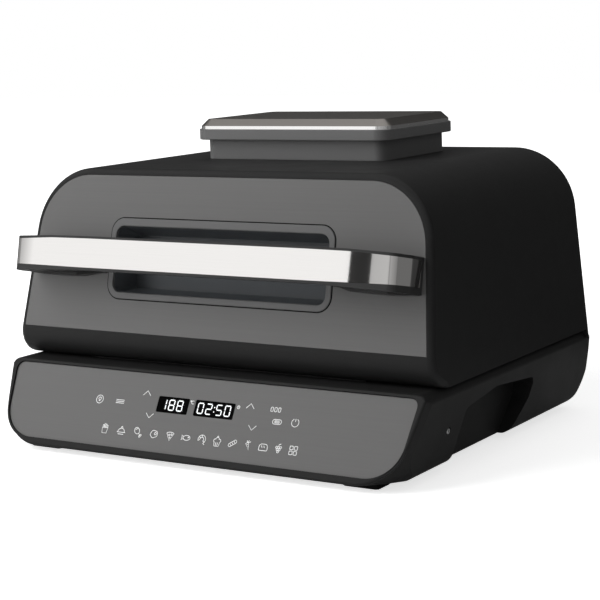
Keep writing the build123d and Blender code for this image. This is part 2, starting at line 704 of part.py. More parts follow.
def in_fascia_top_view(sketch, v0, v1):
    """Solid from a sketch drawn as (x, out), standing between two heights up the fascia."""
    up = fascia_plane.y_dir
    plane = Plane(origin=fascia_plane.origin + up * v1, x_dir=(1, 0, 0), z_dir=-up)
    return extrude(plane * sketch, amount=v1 - v0)


def handle_frame():
    """Plastic bar body with a leg at each end, hollowed behind for the fingers."""
    body = in_fascia_top_view(handle_outer_face(), 40, 90)
    body &= extrude(fascia_plane * handle_band(*FRAME_V, *FRAME_END_V), amount=60)
    gap = polygon([(-116, -5), (-116, 0), (-150, 24), (-140, 29), (140, 29), (150, 24), (116, 0), (116, -5)])
    gap = fillet([v for v in gap.vertices() if abs(v.X) > 139], 3.0)
    body -= in_fascia_top_view(gap, 30, 100)
    body += handle_wedges()
    body -= strip_layer(STRIP_THICK + 0.1, 0.1)
    return body - screw_holes(HANDLE_SCREWS, -1, 17, 1.6)


def screw_holes(places, low, high, radius):
    """Round rods through the fascia's plane at (x, up) places, between two depths."""
    plane = fascia_plane.offset(low)
    return [extrude(plane * (Pos(x, v) * Circle(radius)), amount=high - low) for x, v in places]


def strip_layer(thick, grow):
    """Outer layer of the bar that the steel strip takes up, grown up and down for its seat."""
    layer = in_fascia_top_view(handle_outer_face(), 40, 90)
    layer -= in_fascia_top_view(handle_outer_face(thick), 40, 90)
    low, high = STRIP_V
    low_end, high_end = STRIP_END_V
    view = handle_band(low - grow, high + grow, low_end - grow, high_end + grow)
    return layer & extrude(fascia_plane.offset(4.1 - grow) * view, amount=60)


def handle_wedges():
    """Lower toe of each leg where it spreads on the fascia."""
    toe = polygon([(117, 0), (195.4, 0), (195.4, 8), (175, 16), (140, 14)])
    toe = fillet([v for v in toe.vertices() if v.Y > 5], 3.0)
    right = in_fascia_top_view(toe, 46.6, 60)
    front = polygon([(117, 52), (140, 47.4), (170, 46.6), (200, 48), (200, 60), (117, 60)])
    right &= extrude(fascia_plane * front, amount=40)
    return right + mirror(right, Plane.YZ)


def handle_strip():
    return strip_layer(STRIP_THICK, 0)


def motor_cover():
    low, high = COVER_Y
    middle = (low + high) / 2
    half = (high - low) / 2
    wall = 2.5
    body = along_z(rounded(COVER_HALF, half, COVER_CORNER, middle), LID_TOP, COVER_Z)
    hollow = rounded(COVER_HALF - wall, half - wall, COVER_CORNER - wall, middle)
    body -= along_z(hollow, LID_TOP - 1, COVER_Z + 1)
    for index in range(18):
        x = -76.5 + 9 * index
        body -= slab((x - 1.8, x + 1.8), (high - 6, high + 4), (LID_TOP + 4, COVER_Z - 4))
    return body


def tray_outline(inset):
    low, high = TRAY_Y
    return rounded(TRAY_HALF - inset, (high - low) / 2 - inset, TRAY_CORNER - inset, (low + high) / 2)


def cap_tray():
    """Dark band under the cap, open in the middle over the motor."""
    tray = along_z(tray_outline(0), COVER_Z, TRAY_Z)
    tray = fillet(tray.edges().group_by(Axis.Z)[0], 1.0)
    tray = fillet(tray.edges().group_by(Axis.Z)[-1], 0.6)
    return tray - along_z(tray_outline(12), COVER_Z - 1, TRAY_Z + 1)


def cover_cap():
    """Metal cap with a wide bevel on all sides, hollow underneath."""
    cap = along_z(tray_outline(CAP_INSET), TRAY_Z, CAP_TOP_Z)
    cap = chamfer(cap.edges().group_by(Axis.Z)[-1], CAP_TOP_Z - TRAY_Z - CAP_BAND, CAP_BEVEL)
    hollow = along_z(tray_outline(12), TRAY_Z - 1, CAP_TOP_Z - CAP_SKIN)
    return cap - hollow


def lid_ring():
    """Flat frame that closes the underside of the lid round the cooking space."""
    half = LID_HALF - LID_WALL - 0.6
    low, high = RING_Y
    outline = polygon([(-half, low), (half, low), (half, high), (-half, high)])
    outline = fillet(outline.vertices().group_by(Axis.Y)[-1], 9)
    ring = along_z(outline, SPLIT_Z, SPLIT_Z + LID_WALL)
    opening = rounded(LINER_HALF[0] + 0.2, LINER_HALF[1] + 0.2, LINER_CORNER, POT_Y)
    ring -= along_z(opening, SPLIT_Z - 1, SPLIT_Z + 5)
    ring -= gasket_band(0.1, SPLIT_Z - 1, SPLIT_Z + 1.6)
    for side in (-1, 1):
        x_pair = sorted((side * (ROLL_GAP_X[0] - 1), side * (ROLL_GAP_X[1] + 1)))
        ring -= slab(x_pair, (158.5, 175.0), (60.0, 90.0))
    return ring


def gasket_band(grow, z0, z1):
    outer_x, outer_y = (half + grow for half in GASKET_OUTER)
    inner_x, inner_y = (half - grow for half in GASKET_INNER)
    outer = along_z(rounded(outer_x, outer_y, LINER_CORNER + 7, POT_Y), z0, z1)
    return outer - along_z(rounded(inner_x, inner_y, LINER_CORNER + 3, POT_Y), z0 - 1, z1 + 1)


def lid_gasket():
    return gasket_band(0, DECK_Z + 0.15, SPLIT_Z + 1.5)


def lid_liner():
    """Polished sheet metal hood over the cooking space."""
    half_x, half_y = LINER_HALF
    outer = along_z(rounded(half_x, half_y, LINER_CORNER, POT_Y), SPLIT_Z, LINER_TOP)
    outer = fillet(outer.edges().group_by(Axis.Z)[-1], 14)
    inner = rounded(half_x - SHEET, half_y - SHEET, LINER_CORNER - SHEET, POT_Y)
    inner = along_z(inner, SPLIT_Z - 1, LINER_TOP - SHEET)
    inner = fillet(inner.edges().group_by(Axis.Z)[-1], 13)
    flange_z = SPLIT_Z + LID_WALL + 0.05
    flange = along_z(rounded(half_x + 8, half_y + 6, LINER_CORNER + 6, POT_Y), flange_z, flange_z + SHEET)
    liner = outer + flange - inner - rod_z(0, FAN_Y, 150, 200, 7)
    liner -= element_ends(170, 200, ELEMENT_R + 0.4)
    return liner - Pos(PROBE_X, POT_Y + half_y, PROBE_Z) * Rot(90, 0, 0) * Cylinder(2.1, 30)


def insulation_plate():
    plate = along_z(rounded(148, 104, 24, POT_Y), LINER_TOP + 4, LINER_TOP + 8)
    plate -= rod_z(0, FAN_Y, 150, 260, 8)
    plate -= element_ends(170, 200, ELEMENT_R + 0.8)
    return plate - [rod_z(x, y, 180, 200, 5) for x, y in STANDOFFS]


def standoffs():
    """Four spacers that hold the motor bracket above the liner."""
    low, high = LINER_TOP + 0.05, BRACKET_Z[0] - 0.05
    return group(rod_z(x, y, low, high, 4) - rod_z(x, y, low - 1, high + 1, 1.5) for x, y in STANDOFFS)


def element_ends(z0, z1, radius):
    """Upright rods where the two ends of the element rise."""
    return [rod_z(x, ELEMENT_Y + ELEMENT_HALF[1], z0, z1, radius) for x in (-ELEMENT_END_X, ELEMENT_END_X)]


def heating_element():
    """Tubular element bent round the fan, with both ends rising through the liner."""
    half_x, half_y = ELEMENT_HALF
    corner = 40.0
    y_low = ELEMENT_Y - half_y
    y_high = ELEMENT_Y + half_y
    end = ELEMENT_END_X
    rise = 196.0
    flat = [(-end, y_high), (-half_x, y_high), (-half_x, y_low)]
    flat += [(-x, y) for x, y in reversed(flat)]
    points = [(x, y, ELEMENT_Z) for x, y in flat]
    points = [(-end, y_high, rise), *points, (end, y_high, rise)]
    path = FilletPolyline(*points, radius=[10, corner, corner, corner, corner, 10])
    return sweep(Plane(origin=path @ 0, z_dir=path % 0) * Circle(ELEMENT_R), path=path)


def element_clips():
    """Wire saddles that hang the element from the liner."""
    clips = []
    low, high = 154.5, LINER_TOP - SHEET - 0.05
    half_x, half_y = ELEMENT_HALF
    for x, y in ((-half_x, ELEMENT_Y), (half_x, ELEMENT_Y), (0, ELEMENT_Y - half_y)):
        wide, deep = (6.5, 2.0) if x else (2.0, 6.5)
        turn = Rot(90, 0, 0) if x else Rot(0, 90, 0)
        block = slab((x - wide, x + wide), (y - deep, y + deep), (low, high))
        clips.append(block - Pos(x, y, ELEMENT_Z) * turn * Cylinder(ELEMENT_R + 0.1, 30))
    return group(clips)


def fan_guard():
    """Flat perforated plate below the element, on four bent tabs."""
    plate = along_z(rounded(150, 104, 28, POT_Y), *GUARD_Z)
    for ring, count in ((22, 8), (38, 14), (54, 20), (70, 26)):
        step = 360 / count
        for index in range(count):
            angle = radians(index * step)
            plate -= rod_z(ring * cos(angle), FAN_Y - 6 + ring * sin(angle), 140, 150, 4.2)
    for x in (-90, 90):
        for side in (-1, 1):
            edge = POT_Y + 103 * side
            plate += slab((x - 5, x + 5), (edge - 1, edge + 1), (GUARD_Z[0], 172))
            plate += slab((x - 5, x + 5), sorted((edge, edge + 13.9 * side)), (168, 169.2))
    return plate


def convection_fan():
    """Open wheel with ten bent blades under a round back plate."""
    wheel = rod_z(0, FAN_Y, 177.0, 178.2, 58)
    wheel += rod_z(0, FAN_Y, 162.0, 178.0, 9)
    for index in range(10):
        blade = Pos(38, 0, 171.6) * Rot(0, 0, 24) * Box(36, 1.2, 11.5)
        wheel += Pos(0, FAN_Y, 0) * Rot(0, 0, 36 * index) * blade
    return wheel - rod_z(0, FAN_Y, 150, 200, SHAFT_R)


def cooling_fan():
    """Plastic wheel above the liner that draws air over the motor."""
    wheel = rod_z(0, FAN_Y, 198.0, 199.6, 46)
    wheel += rod_z(0, FAN_Y, 198.0, 213.0, 9)
    for index in range(12):
        blade = Pos(28, 0, 205.5) * Rot(0, 0, 18) * Box(34, 1.4, 12.5)
        wheel += Pos(0, FAN_Y, 0) * Rot(0, 0, 30 * index) * blade
    return wheel - rod_z(0, FAN_Y, 190, 220, SHAFT_R)


def fan_shaft():
    return rod_z(0, FAN_Y, 158.0, 258.0, SHAFT_R)


def fan_nut():
    hexagon = Pos(0, FAN_Y) * RegularPolygon(7, 6)
    return along_z(hexagon, 156.5, 161.9) - rod_z(0, FAN_Y, 150, 165, SHAFT_R)


def motor():
    """Round motor can with its lower bearing boss and a blind bore for the shaft."""
    low, high = MOTOR_Z
    can = rod_z(0, FAN_Y, low, high, MOTOR_R)
    can = fillet(can.edges().filter_by(GeomType.CIRCLE), 3)
    can += rod_z(0, FAN_Y, 220.2, low + 1, 11)
    return can - rod_z(0, FAN_Y, 215, 259, SHAFT_R + SHAFT_FIT)


def motor_bracket():
    bracket = along_z(rounded(78, 60, 8, FAN_Y), *BRACKET_Z) - rod_z(0, FAN_Y, 210, 230, 11.2)
    return bracket - [rod_z(x, y, 210, 230, 2.1) for x, y in STANDOFFS]


def bracket_screws():
    top = BRACKET_Z[1] + 0.1
    return group(rod_z(x, y, top - 12, top, 1.45) + rod_z(x, y, top, top + 2.2, 3.4) for x, y in STANDOFFS)


def bottom_screws():
    heads = []
    for x in (-BOSS_X, BOSS_X):
        for y in BOSS_Y:
            head = rod_z(x, y, FLOOR_Z - 1.6, FLOOR_Z - 0.02, 3.4)
            heads.append(head + rod_z(x, y, FLOOR_Z - 0.1, 22, 1.2))
    return group(heads)


def side_screw():
    """Countersunk screw in the side of the base, in front of the hand grip."""
    head = rod_x(SIDE_SCREW_X + 0.1, SIDE_SCREW_X + 2.4, SIDE_SCREW_Y, SIDE_SCREW_Z, 3.0)
    shank = rod_x(SIDE_SCREW_X - 14, SIDE_SCREW_X + 0.2, SIDE_SCREW_Y, SIDE_SCREW_Z, 1.5)
    return head + shank


def handle_screws():
    """Screws driven from inside the lid through its front wall into the handle's legs."""
    under = -LID_FRONT_WALL - 2.2
    heads = screw_holes(HANDLE_SCREWS, under, under + 2.15, 3.4)
    shanks = screw_holes(HANDLE_SCREWS, under, 14, 1.55)
    return group(head + shank for head, shank in zip(heads, shanks))


def thermistor():
    """Temperature probe through the rear wall of the liner, above the guard."""
    y = POT_Y + LINER_HALF[1]
    probe = Pos(PROBE_X, y - 6, PROBE_Z) * Rot(90, 0, 0) * Cylinder(2.0, 22)
    nut = Pos(PROBE_X, y + 2.6, PROBE_Z) * Rot(90, 0, 0) * Cylinder(5.0, 5)
    return probe + nut


def lid_magnet():
    return slab((190, 202), (-60, -48), (SPLIT_Z + LID_WALL + 0.05, SPLIT_Z + LID_WALL + 5))


def lid_sensor():
    """Sealed magnetic switch under the deck, below the magnet in the lid."""
    return slab((188, 204), (-62, -46), (DECK_Z - BASE_WALL - 8, DECK_Z - BASE_WALL - 0.05))


# One file for each piece

PIECES = {
    "base_housing": base_housing(),
    "bottom_cover": bottom_cover(),
    "feet": feet(),
    "pot_well": pot_well(),
    "control_panel": control_panel(),
    "display_windows": display_windows(),
    "control_board": control_board(),
    "display_modules": display_modules(),
    "touch_contacts": touch_contacts(),
    "power_board": power_board(),
    "board_parts": board_parts(),
    "cord_gland": cord_gland(),
    "base_hinges": both_sides(base_hinge()),
    "hinge_pins": both_sides(hinge_pin()),
    "bottom_screws": bottom_screws(),
    "side_screws": both_sides(side_screw()),
    "lid_sensor": lid_sensor(),
    "lid_shell": lid_shell(),
    "lid_fascia": lid_fascia(),
    "recess_bezel": recess_bezel(),
    "recess_cup": recess_cup(),
    "handle_frame": handle_frame(),
    "handle_strip": handle_strip(),
    "handle_screws": handle_screws(),
    "motor_cover": motor_cover(),
    "cap_tray": cap_tray(),
    "cover_cap": cover_cap(),
    "lid_ring": lid_ring(),
    "lid_gasket": lid_gasket(),
    "lid_liner": lid_liner(),
    "insulation_plate": insulation_plate(),
    "standoffs": standoffs(),
    "heating_element": heating_element(),
    "element_clips": element_clips(),
    "fan_guard": fan_guard(),
    "motor": motor(),
    "motor_bracket": motor_bracket(),
    "bracket_screws": bracket_screws(),
    "thermistor": thermistor(),
    "lid_hinges": both_sides(lid_hinge()),
    "lid_magnet": lid_magnet(),
    "convection_fan": convection_fan(),
    "cooling_fan": cooling_fan(),
    "fan_shaft": fan_shaft(),
    "fan_nut": fan_nut(),
    "cooking_pot": cooking_pot(),
    "grill_plate": grill_plate(),
}

for piece_name, piece in PIECES.items():
    export_step(piece, f"parts/{piece_name}.step")
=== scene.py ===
from math import asin, atan2, cos, pi, radians, sin, tan

import bmesh
import bpy
from mathutils import Matrix, Vector


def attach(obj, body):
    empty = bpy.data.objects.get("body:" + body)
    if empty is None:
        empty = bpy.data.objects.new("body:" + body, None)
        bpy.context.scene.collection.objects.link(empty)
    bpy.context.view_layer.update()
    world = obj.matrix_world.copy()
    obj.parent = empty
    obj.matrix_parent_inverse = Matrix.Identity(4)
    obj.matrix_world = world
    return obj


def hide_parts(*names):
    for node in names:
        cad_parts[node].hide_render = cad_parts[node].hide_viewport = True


bl_info = {
    "name": "Air Fryer Grill",
    "version": (1, 0, 0),
    "blender": (4, 5, 0),
    "location": "View3D > Sidebar > Grill",
    "description": "Finishes, panel print and fittings of a countertop air fryer grill",
    "category": "Object",
}

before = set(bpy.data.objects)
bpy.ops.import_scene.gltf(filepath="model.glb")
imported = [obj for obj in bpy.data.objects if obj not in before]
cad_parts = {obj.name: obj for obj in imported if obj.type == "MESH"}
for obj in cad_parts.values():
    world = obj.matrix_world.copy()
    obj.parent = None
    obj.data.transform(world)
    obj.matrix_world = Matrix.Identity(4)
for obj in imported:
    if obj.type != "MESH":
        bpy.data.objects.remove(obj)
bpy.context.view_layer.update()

MM = 0.001
# Points closer than this, in metres, are one point
WELD = 2e-6
# Edges that turn more than the first stay sharp, and faces that turn less than the second are one
SMOOTH_ANGLE = radians(32)
FLAT_ANGLE = radians(0.5)
# A line whose ends are closer than this, in millimetres, is a loop
LOOP_GAP = 1e-4
# Depth of the fine relief of every surface, in metres
RELIEF_DEPTH = 0.00005
# Part of a noise's range over which a surface goes from smooth to rough
NOISE_RANGE = (0.3, 0.7)
# Faces whose normals rise less than the first are upright, and more than the second are not
UPRIGHT_RANGE = (0.25, 0.45)

# Symbols and lit figures, in millimetres on the panel
PRINT_LIFT, PRINT_THICKNESS, PRINT_GLOW = 0.06, 0.06, 0.12
FOOD_ROW = -52.7
FOOD_X = (-89.8, -72.0, -54.5, -37.4, -20.7, -4.2, 11.8, 27.6, 43.0, 58.3, 73.2, 87.8, 102.0)
DISPLAYS = (("188", -26.9), ("0250", 16.6))
FIGURE_ROW, FIGURE_PITCH = -26.2, 8.5
FIGURE_WIDE, FIGURE_HIGH, FIGURE_THICKNESS = 6.2, 9.8, 0.05
FIGURE_LIFT = -0.05
FIGURE_COLOUR, FIGURE_GLOW = (0.93, 0.96, 1.0, 1.0), 0.55
SEGMENT_GAP = 0.12
SEGMENTS = {"0": "abcdef", "1": "bc", "2": "abged", "5": "afgcd", "8": "abcdefg"}
COLON_X, COLON_ROWS, COLON_RADIUS = 16.9, (-24.3, -28.1), 0.62
# How far the colon pushes the figures apart
COLON_ROOM = 0.9

# Control panel: half width, height and radius of its lower and upper corners
PANEL_CORNERS = ((198.7, -68.6, 32.0), (205.6, 0.0, 7.5))
BEAD_GAP, BEAD_LIFT = 1.5, 0.05
# Finger recess: middle, width, height and corner radius
RECESS = (0.0, 64.95, 229.3, 71.0, 13.1)
# Painted seam shadow: how far it sits out from the fascia, in millimetres, behind it when below
# zero
SEAM_SHADE_LIFT = -0.6
# Handle strip: half length of its flat middle, radius of its arched ends, and where they stop
STRIP_FLAT, STRIP_RADIUS, STRIP_ARCH_END = 148.0, 411.6, 185.4
STRIP_CUTS = 12
# A face belongs to the strip's front when it faces out this much and ends within this of the arch
STRIP_FACING, STRIP_SLACK = 0.98, 0.1

# Head radius, head height, shank radius and shank length of each kind of screw
COVER_SCREW = (3.4, 1.56, 1.2, 16.0)
SIDE_SCREW = (3.0, 2.1, 1.5, 13.0)
HANDLE_SCREW = (3.4, 2.05, 1.55, 18.0)
BRACKET_SCREW = (3.4, 2.15, 1.45, 11.8)
# Cross recess of a screw, as shares of the head's radius and height
CROSS_ARM, CROSS_HALF, CROSS_TAPER, CROSS_FLOOR = 0.58, 0.13, 0.8, 0.4
SCREW_SIDES = 24

# Stage, in metres
CAMERA_PLACE = (0.8363, -1.3077, 0.3640)
CAMERA_YAW, CAMERA_PITCH, CAMERA_ROLL = radians(32.447), radians(9.104), radians(-2.031)
LAMP_AIM = (0, 0, 0.1)
# Each lamp's name, place, size and share of the lamp power
LAMPS = (
    ("Main lamp", (-1.3, -1.5, 1.9), 1.5, 0.6),
    ("Side lamp", (2.1, -0.9, 1.5), 1.6, 0.03),
    ("Rear lamp", (0.3, 1.9, 2.4), 1.6, 0.2),
    ("Front fill", (-1.5, -1.6, 0.5), 1.2, 0.34),
)
FLOOR_HALF, FLOOR_DROP = 6.0, 0.0003
# The floor's glow rises over the first two distances from the first level to the second
FLOOR_GLOW = (0.4, 1.0, 0.7, 1.1)
# The surroundings light the object this much, and look and reflect as 1
WORLD_LIGHT = 0.2
# Distance from the middle, height and glow of the rings of the dark cloth
CLOTH_RINGS = ((0.42, 0.002, 0.02), (2.4, 0.002, 0.07), (2.4, 3.4, 0.09))
CLOTH_START, CLOTH_SWEEP, CLOTH_STEPS = -10, 180, 16
# Each card's name, middle, azimuth in degrees, and columns of (distance from its middle, glow)
CARDS = (
    ("dark_card", (-0.53, -1.485, 0.46), -118, ((-0.075, 0.03), (0.105, 0.03))),
    ("grey_card", (-0.30, -1.56, 0.46), -112,
     ((-0.14, 0.5), (0.1, 0.56), (0.4, 0.48), (0.6, 0.32), (0.9, 0.28))),
    ("end_card", (1.64, 0.22, 0.46), 15, ((-0.5, 0.15), (0.5, 0.15))),
    ("low_card", (-0.62, -1.15, -0.16), -121, ((-0.9, 0.95), (0.5, 0.95))),
    ("side_card", (1.26, -1.24, 0.46), -45, ((-1.2, 0.42), (1.3, 0.2))),
    ("left_card", (-1.64, -0.58, 0.46), -165,
     ((-0.9, 0.2), (0.45, 0.3), (0.56, 0.45), (0.75, 1.0))),
)
CARD_HALF_HEIGHT = 0.4


# Places on the object

class Sheet:
    """A flat face of the object: its origin, right, up and outward directions, in millimetres."""

    def __init__(self, origin, tilt):
        self.origin = Vector(origin)
        self.right = Vector((1, 0, 0))
        self.up = Vector((0, sin(tilt), cos(tilt)))
        self.out = Vector((0, -cos(tilt), sin(tilt)))

    def point(self, x, v, lift):
        """Place of a point of the face, raised by a lift."""
        return self.origin + self.right * x + self.up * v + self.out * lift

    def matrix(self, lift):
        """Lays a mesh drawn flat in metres on the face, raised by a lift in millimetres."""
        axes = Matrix((self.right, self.up, self.out)).transposed().to_4x4()
        return Matrix.Translation(self.point(0, 0, lift) * MM) @ axes


PANEL = Sheet((0, -145.3, 71.1), radians(29))
FASCIA = Sheet((0, -134.4, 102.0), radians(12.34))


# Mesh helpers

def add_object(name, mesh):
    piece = bpy.data.objects.new(name, mesh)
    bpy.context.scene.collection.objects.link(piece)
    return piece


def baked(piece, name):
    """Replaces a piece and its modifiers by one plain mesh object at the origin."""
    graph = bpy.context.evaluated_depsgraph_get()
    mesh = bpy.data.meshes.new_from_object(piece.evaluated_get(graph), depsgraph=graph)
    mesh.transform(piece.matrix_world)
    old = piece.data
    bpy.data.objects.remove(piece)
    bpy.data.meshes.remove(old)
    mesh.name = name
    return add_object(name, mesh)


def filled_mesh(name, build):
    """Mesh filled by a function that works on a bmesh."""
    mesh = bpy.data.meshes.new(name)
    work = bmesh.new()
    build(work)
    work.to_mesh(mesh)
    work.free()
    return mesh


def add_ring(work, points, z=0.0):
    """Vertices at one height for (x, y) points, in millimetres."""
    return [work.verts.new((x * MM, y * MM, z * MM)) for x, y in points]


def add_wall(work, low, high):
    """Faces between two closed rings of the same count."""
    for index in range(len(low)):
        after = (index + 1) % len(low)
        work.faces.new((low[index], low[after], high[after], high[index]))


def soft_edges(node, bevel, body, finish):
    """Copy of a CAD node with its sharp edges rounded over by a bevel in millimetres."""
    def build(work):
        work.from_mesh(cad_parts[node].data)
        bmesh.ops.remove_doubles(work, verts=work.verts, dist=WELD)
        bmesh.ops.dissolve_limit(work, angle_limit=FLAT_ANGLE, verts=work.verts, edges=work.edges)
        sharp = [edge for edge in work.edges
                 if len(edge.link_faces) == 2 and edge.calc_face_angle(0) > SMOOTH_ANGLE]
        bmesh.ops.bevel(work, geom=sharp, offset=bevel * MM, segments=2, profile=0.5,
                        affect="EDGES", clamp_overlap=True)
    mesh = filled_mesh(node, build)
    mesh.shade_smooth()
    piece = add_object(node + "_soft", mesh)
    weighted = piece.modifiers.new("weighted", "WEIGHTED_NORMAL")
    weighted.keep_sharp = True
    piece = baked(piece, node + "_look")
    piece.data.materials.clear()
    piece.data.materials.append(finish)
    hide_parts(node)
    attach(piece, body)


# Line work

def arc(x, y, radius, start=0.0, end=360.0, steps=20, squash=1.0, turn=0.0):
    """Points along an arc or ellipse, with angles in degrees."""
    points = []
    for index in range(steps + 1):
        angle = radians(start + (end - start) * index / steps)
        along, across = radius * cos(angle), radius * squash * sin(angle)
        points.append((x + along * cos(radians(turn)) - across * sin(radians(turn)),
                       y + along * sin(radians(turn)) + across * cos(radians(turn))))
    return points


def rounded_outline(corners, radii, steps=6):
    """Open outline through corners given anticlockwise, each rounded to its radius."""
    points = []
    count = len(corners)
    for index, radius in enumerate(radii):
        here = Vector(corners[index])
        before = (Vector(corners[index - 1]) - here).normalized()
        after = (Vector(corners[(index + 1) % count]) - here).normalized()
        half = before.angle(after) / 2
        centre = here + (before + after).normalized() * (radius / sin(half))
        first = here + before * (radius / tan(half)) - centre
        start = atan2(first.y, first.x)
        for step in range(steps + 1):
            angle = start + (pi - 2 * half) * step / steps
            points.append((centre.x + radius * cos(angle), centre.y + radius * sin(angle)))
    return points


def box_outline(x, y, wide, high, radius, steps=4):
    """Closed outline of a rounded box about its middle."""
    corners = [(x - wide / 2, y - high / 2), (x + wide / 2, y - high / 2),
               (x + wide / 2, y + high / 2), (x - wide / 2, y + high / 2)]
    return closed(rounded_outline(corners, [radius] * 4, steps))


def closed(points):
    """Outline that comes back to its first point."""
    return points + points[:1]


def moved(lines, x, y):
    return [[(x + px, y + py) for px, py in line] for line in lines]


def scaled(lines, factor):
    return [[(px * factor, py * factor) for px, py in line] for line in lines]


def drawn_lines(name, lines, values, tree, sheet, lift, body="base"):
    """Lines of (x, up) points in millimetres, made solid and laid on a sheet of the object."""
    def build(work):
        for points in lines:
            is_loop = (Vector(points[0]) - Vector(points[-1])).length < LOOP_GAP
            ring = add_ring(work, points[:-1] if is_loop else points)
            for pair in zip(ring, ring[1:] + ring[:1] if is_loop else ring[1:]):
                work.edges.new(pair)
    piece = run_tree(add_object(name, filled_mesh(name, build)), tree, values, name)
    piece.data.transform(sheet.matrix(lift))
    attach(piece, body)
    return piece


# Node trees

def set_inputs(tree, node, inputs):
    """Sets the inputs of a node to values, or joins them to other sockets."""
    for key, value in inputs.items():
        if isinstance(value, bpy.types.NodeSocket):
            tree.links.new(value, node.inputs[key])
        else:
            node.inputs[key].default_value = value


def add_node(tree, kind, inputs=None, **settings):
    """New node with its settings and its inputs."""
    node = tree.nodes.new(kind)
    for key, value in settings.items():
        setattr(node, key, value)
    set_inputs(tree, node, inputs or {})
    return node


def maths(tree, operation, first, second=0.0):
    """Result of one operation on numbers or sockets."""
    return add_node(tree, "ShaderNodeMath", {0: first, 1: second}, operation=operation).outputs[0]


def mapped(tree, value, start, end, low, high):
    """Value moved from one range to another."""
    return add_node(tree, "ShaderNodeMapRange", {
        "Value": value, "From Min": start, "From Max": end, "To Min": low, "To Max": high,
    }).outputs[0]


def new_group(name, kind, inputs, outputs):
    """Node group with its sockets, and what its input node gives."""
    tree = bpy.data.node_groups.new(name, kind)
    for label, socket, *default in inputs:
        item = tree.interface.new_socket(label, in_out="INPUT", socket_type=socket)
        if default:
            item.default_value = default[0]
    for label, socket in outputs:
        tree.interface.new_socket(label, in_out="OUTPUT", socket_type=socket)
    return tree, tree.nodes.new("NodeGroupInput").outputs


def geometry_group(name, *sockets):
    """Geometry group that also takes the finish of its result."""
    shape = ("Geometry", "NodeSocketGeometry")
    inputs = [shape, *sockets, ("Finish", "NodeSocketMaterial")]
    return new_group(name, "GeometryNodeTree", inputs, [shape])


def swept(tree, curve, profile):
    """A closed solid along a curve."""
    return add_node(tree, "GeometryNodeCurveToMesh", {
        "Curve": curve.outputs[0], "Profile Curve": profile.outputs[0], "Fill Caps": True})


def close_tree(tree, result, finish):
    """Ends a tree by making its result real and giving it its material."""
    real = add_node(tree, "GeometryNodeRealizeInstances", {"Geometry": result.outputs[0]})
    dressed = add_node(tree, "GeometryNodeSetMaterial", {
        "Geometry": real.outputs[0], "Material": finish})
    add_node(tree, "NodeGroupOutput", {"Geometry": dressed.outputs[0]})
    return tree


def line_tree():
    """Nodes that give lines a flat, closed strip of film of one width and thickness."""
    tree, given = geometry_group("Printed lines", ("Line width", "NodeSocketFloat"),
                                 ("Film thickness", "NodeSocketFloat"))
    curve = add_node(tree, "GeometryNodeMeshToCurve", {"Mesh": given["Geometry"]})
    level = add_node(tree, "GeometryNodeSetCurveNormal", {"Curve": curve.outputs[0]}, mode="Z_UP")
    profile = add_node(tree, "GeometryNodeCurvePrimitiveQuadrilateral", {
        "Width": given["Line width"], "Height": given["Film thickness"]})
    return close_tree(tree, swept(tree, level, profile), given["Finish"])


def tube_tree():
    """Nodes that run a round bead of one radius along a line."""
    tree, given = geometry_group("Round bead", ("Bead radius", "NodeSocketFloat"))
    curve = add_node(tree, "GeometryNodeMeshToCurve", {"Mesh": given["Geometry"]})
    profile = add_node(tree, "GeometryNodeCurvePrimitiveCircle", {
        "Radius": given["Bead radius"], "Resolution": 12})
    return close_tree(tree, swept(tree, curve, profile), given["Finish"])


def screw_tree():
    """Nodes that set a screw on every point, turned to the point's direction."""
    tree, given = geometry_group("Screws", ("Screw", "NodeSocketObject"))
    facing = add_node(tree, "GeometryNodeInputNamedAttribute", {"Name": "facing"},
                      data_type="FLOAT_VECTOR")
    turn = add_node(tree, "FunctionNodeAlignRotationToVector", {"Vector": facing.outputs[0]},
                    axis="Z")
    model = add_node(tree, "GeometryNodeObjectInfo", {"Object": given["Screw"]})
    placed = add_node(tree, "GeometryNodeInstanceOnPoints", {
        "Points": given["Geometry"], "Instance": model.outputs["Geometry"],
        "Rotation": turn.outputs[0]})
    return close_tree(tree, placed, given["Finish"])


def run_tree(piece, tree, values, name):
    """Runs a geometry tree on a piece and leaves a plain mesh."""
    modifier = piece.modifiers.new("nodes", "NODES")
    modifier.node_group = tree
    for item in tree.interface.items_tree:
        if item.item_type == "SOCKET" and item.in_out == "INPUT" and item.name in values:
            modifier[item.identifier] = values[item.name]
    return baked(piece, name)


# Materials

def surface_group(name, scale, change):
    """Shader group with the sockets that every surface shares."""
    number = "NodeSocketFloat"
    inputs = [("Colour", "NodeSocketColor"), scale, ("Tone change", number, change),
              ("Smooth roughness", number), ("Rough roughness", number)]
    outputs = [("Colour", "NodeSocketColor"), ("Roughness", number), ("Height", number)]
    tree, given = new_group(name, "ShaderNodeTree", inputs, outputs)
    return tree, given, add_node(tree, "ShaderNodeTexCoord").outputs["Object"]


def close_surface(tree, given, noise, height):
    """Ends a surface group: a noise changes its tone and roughness, and a height its relief."""
    change = maths(tree, "MULTIPLY", maths(tree, "SUBTRACT", noise, 0.5), given["Tone change"])
    colour = add_node(tree, "ShaderNodeVectorMath", {
        0: given["Colour"], "Scale": maths(tree, "ADD", change, 1.0)}, operation="SCALE")
    rough = mapped(tree, noise, *NOISE_RANGE, given["Smooth roughness"], given["Rough roughness"])
    add_node(tree, "NodeGroupOutput", {
        "Colour": colour.outputs[0], "Roughness": rough, "Height": height})
    return tree


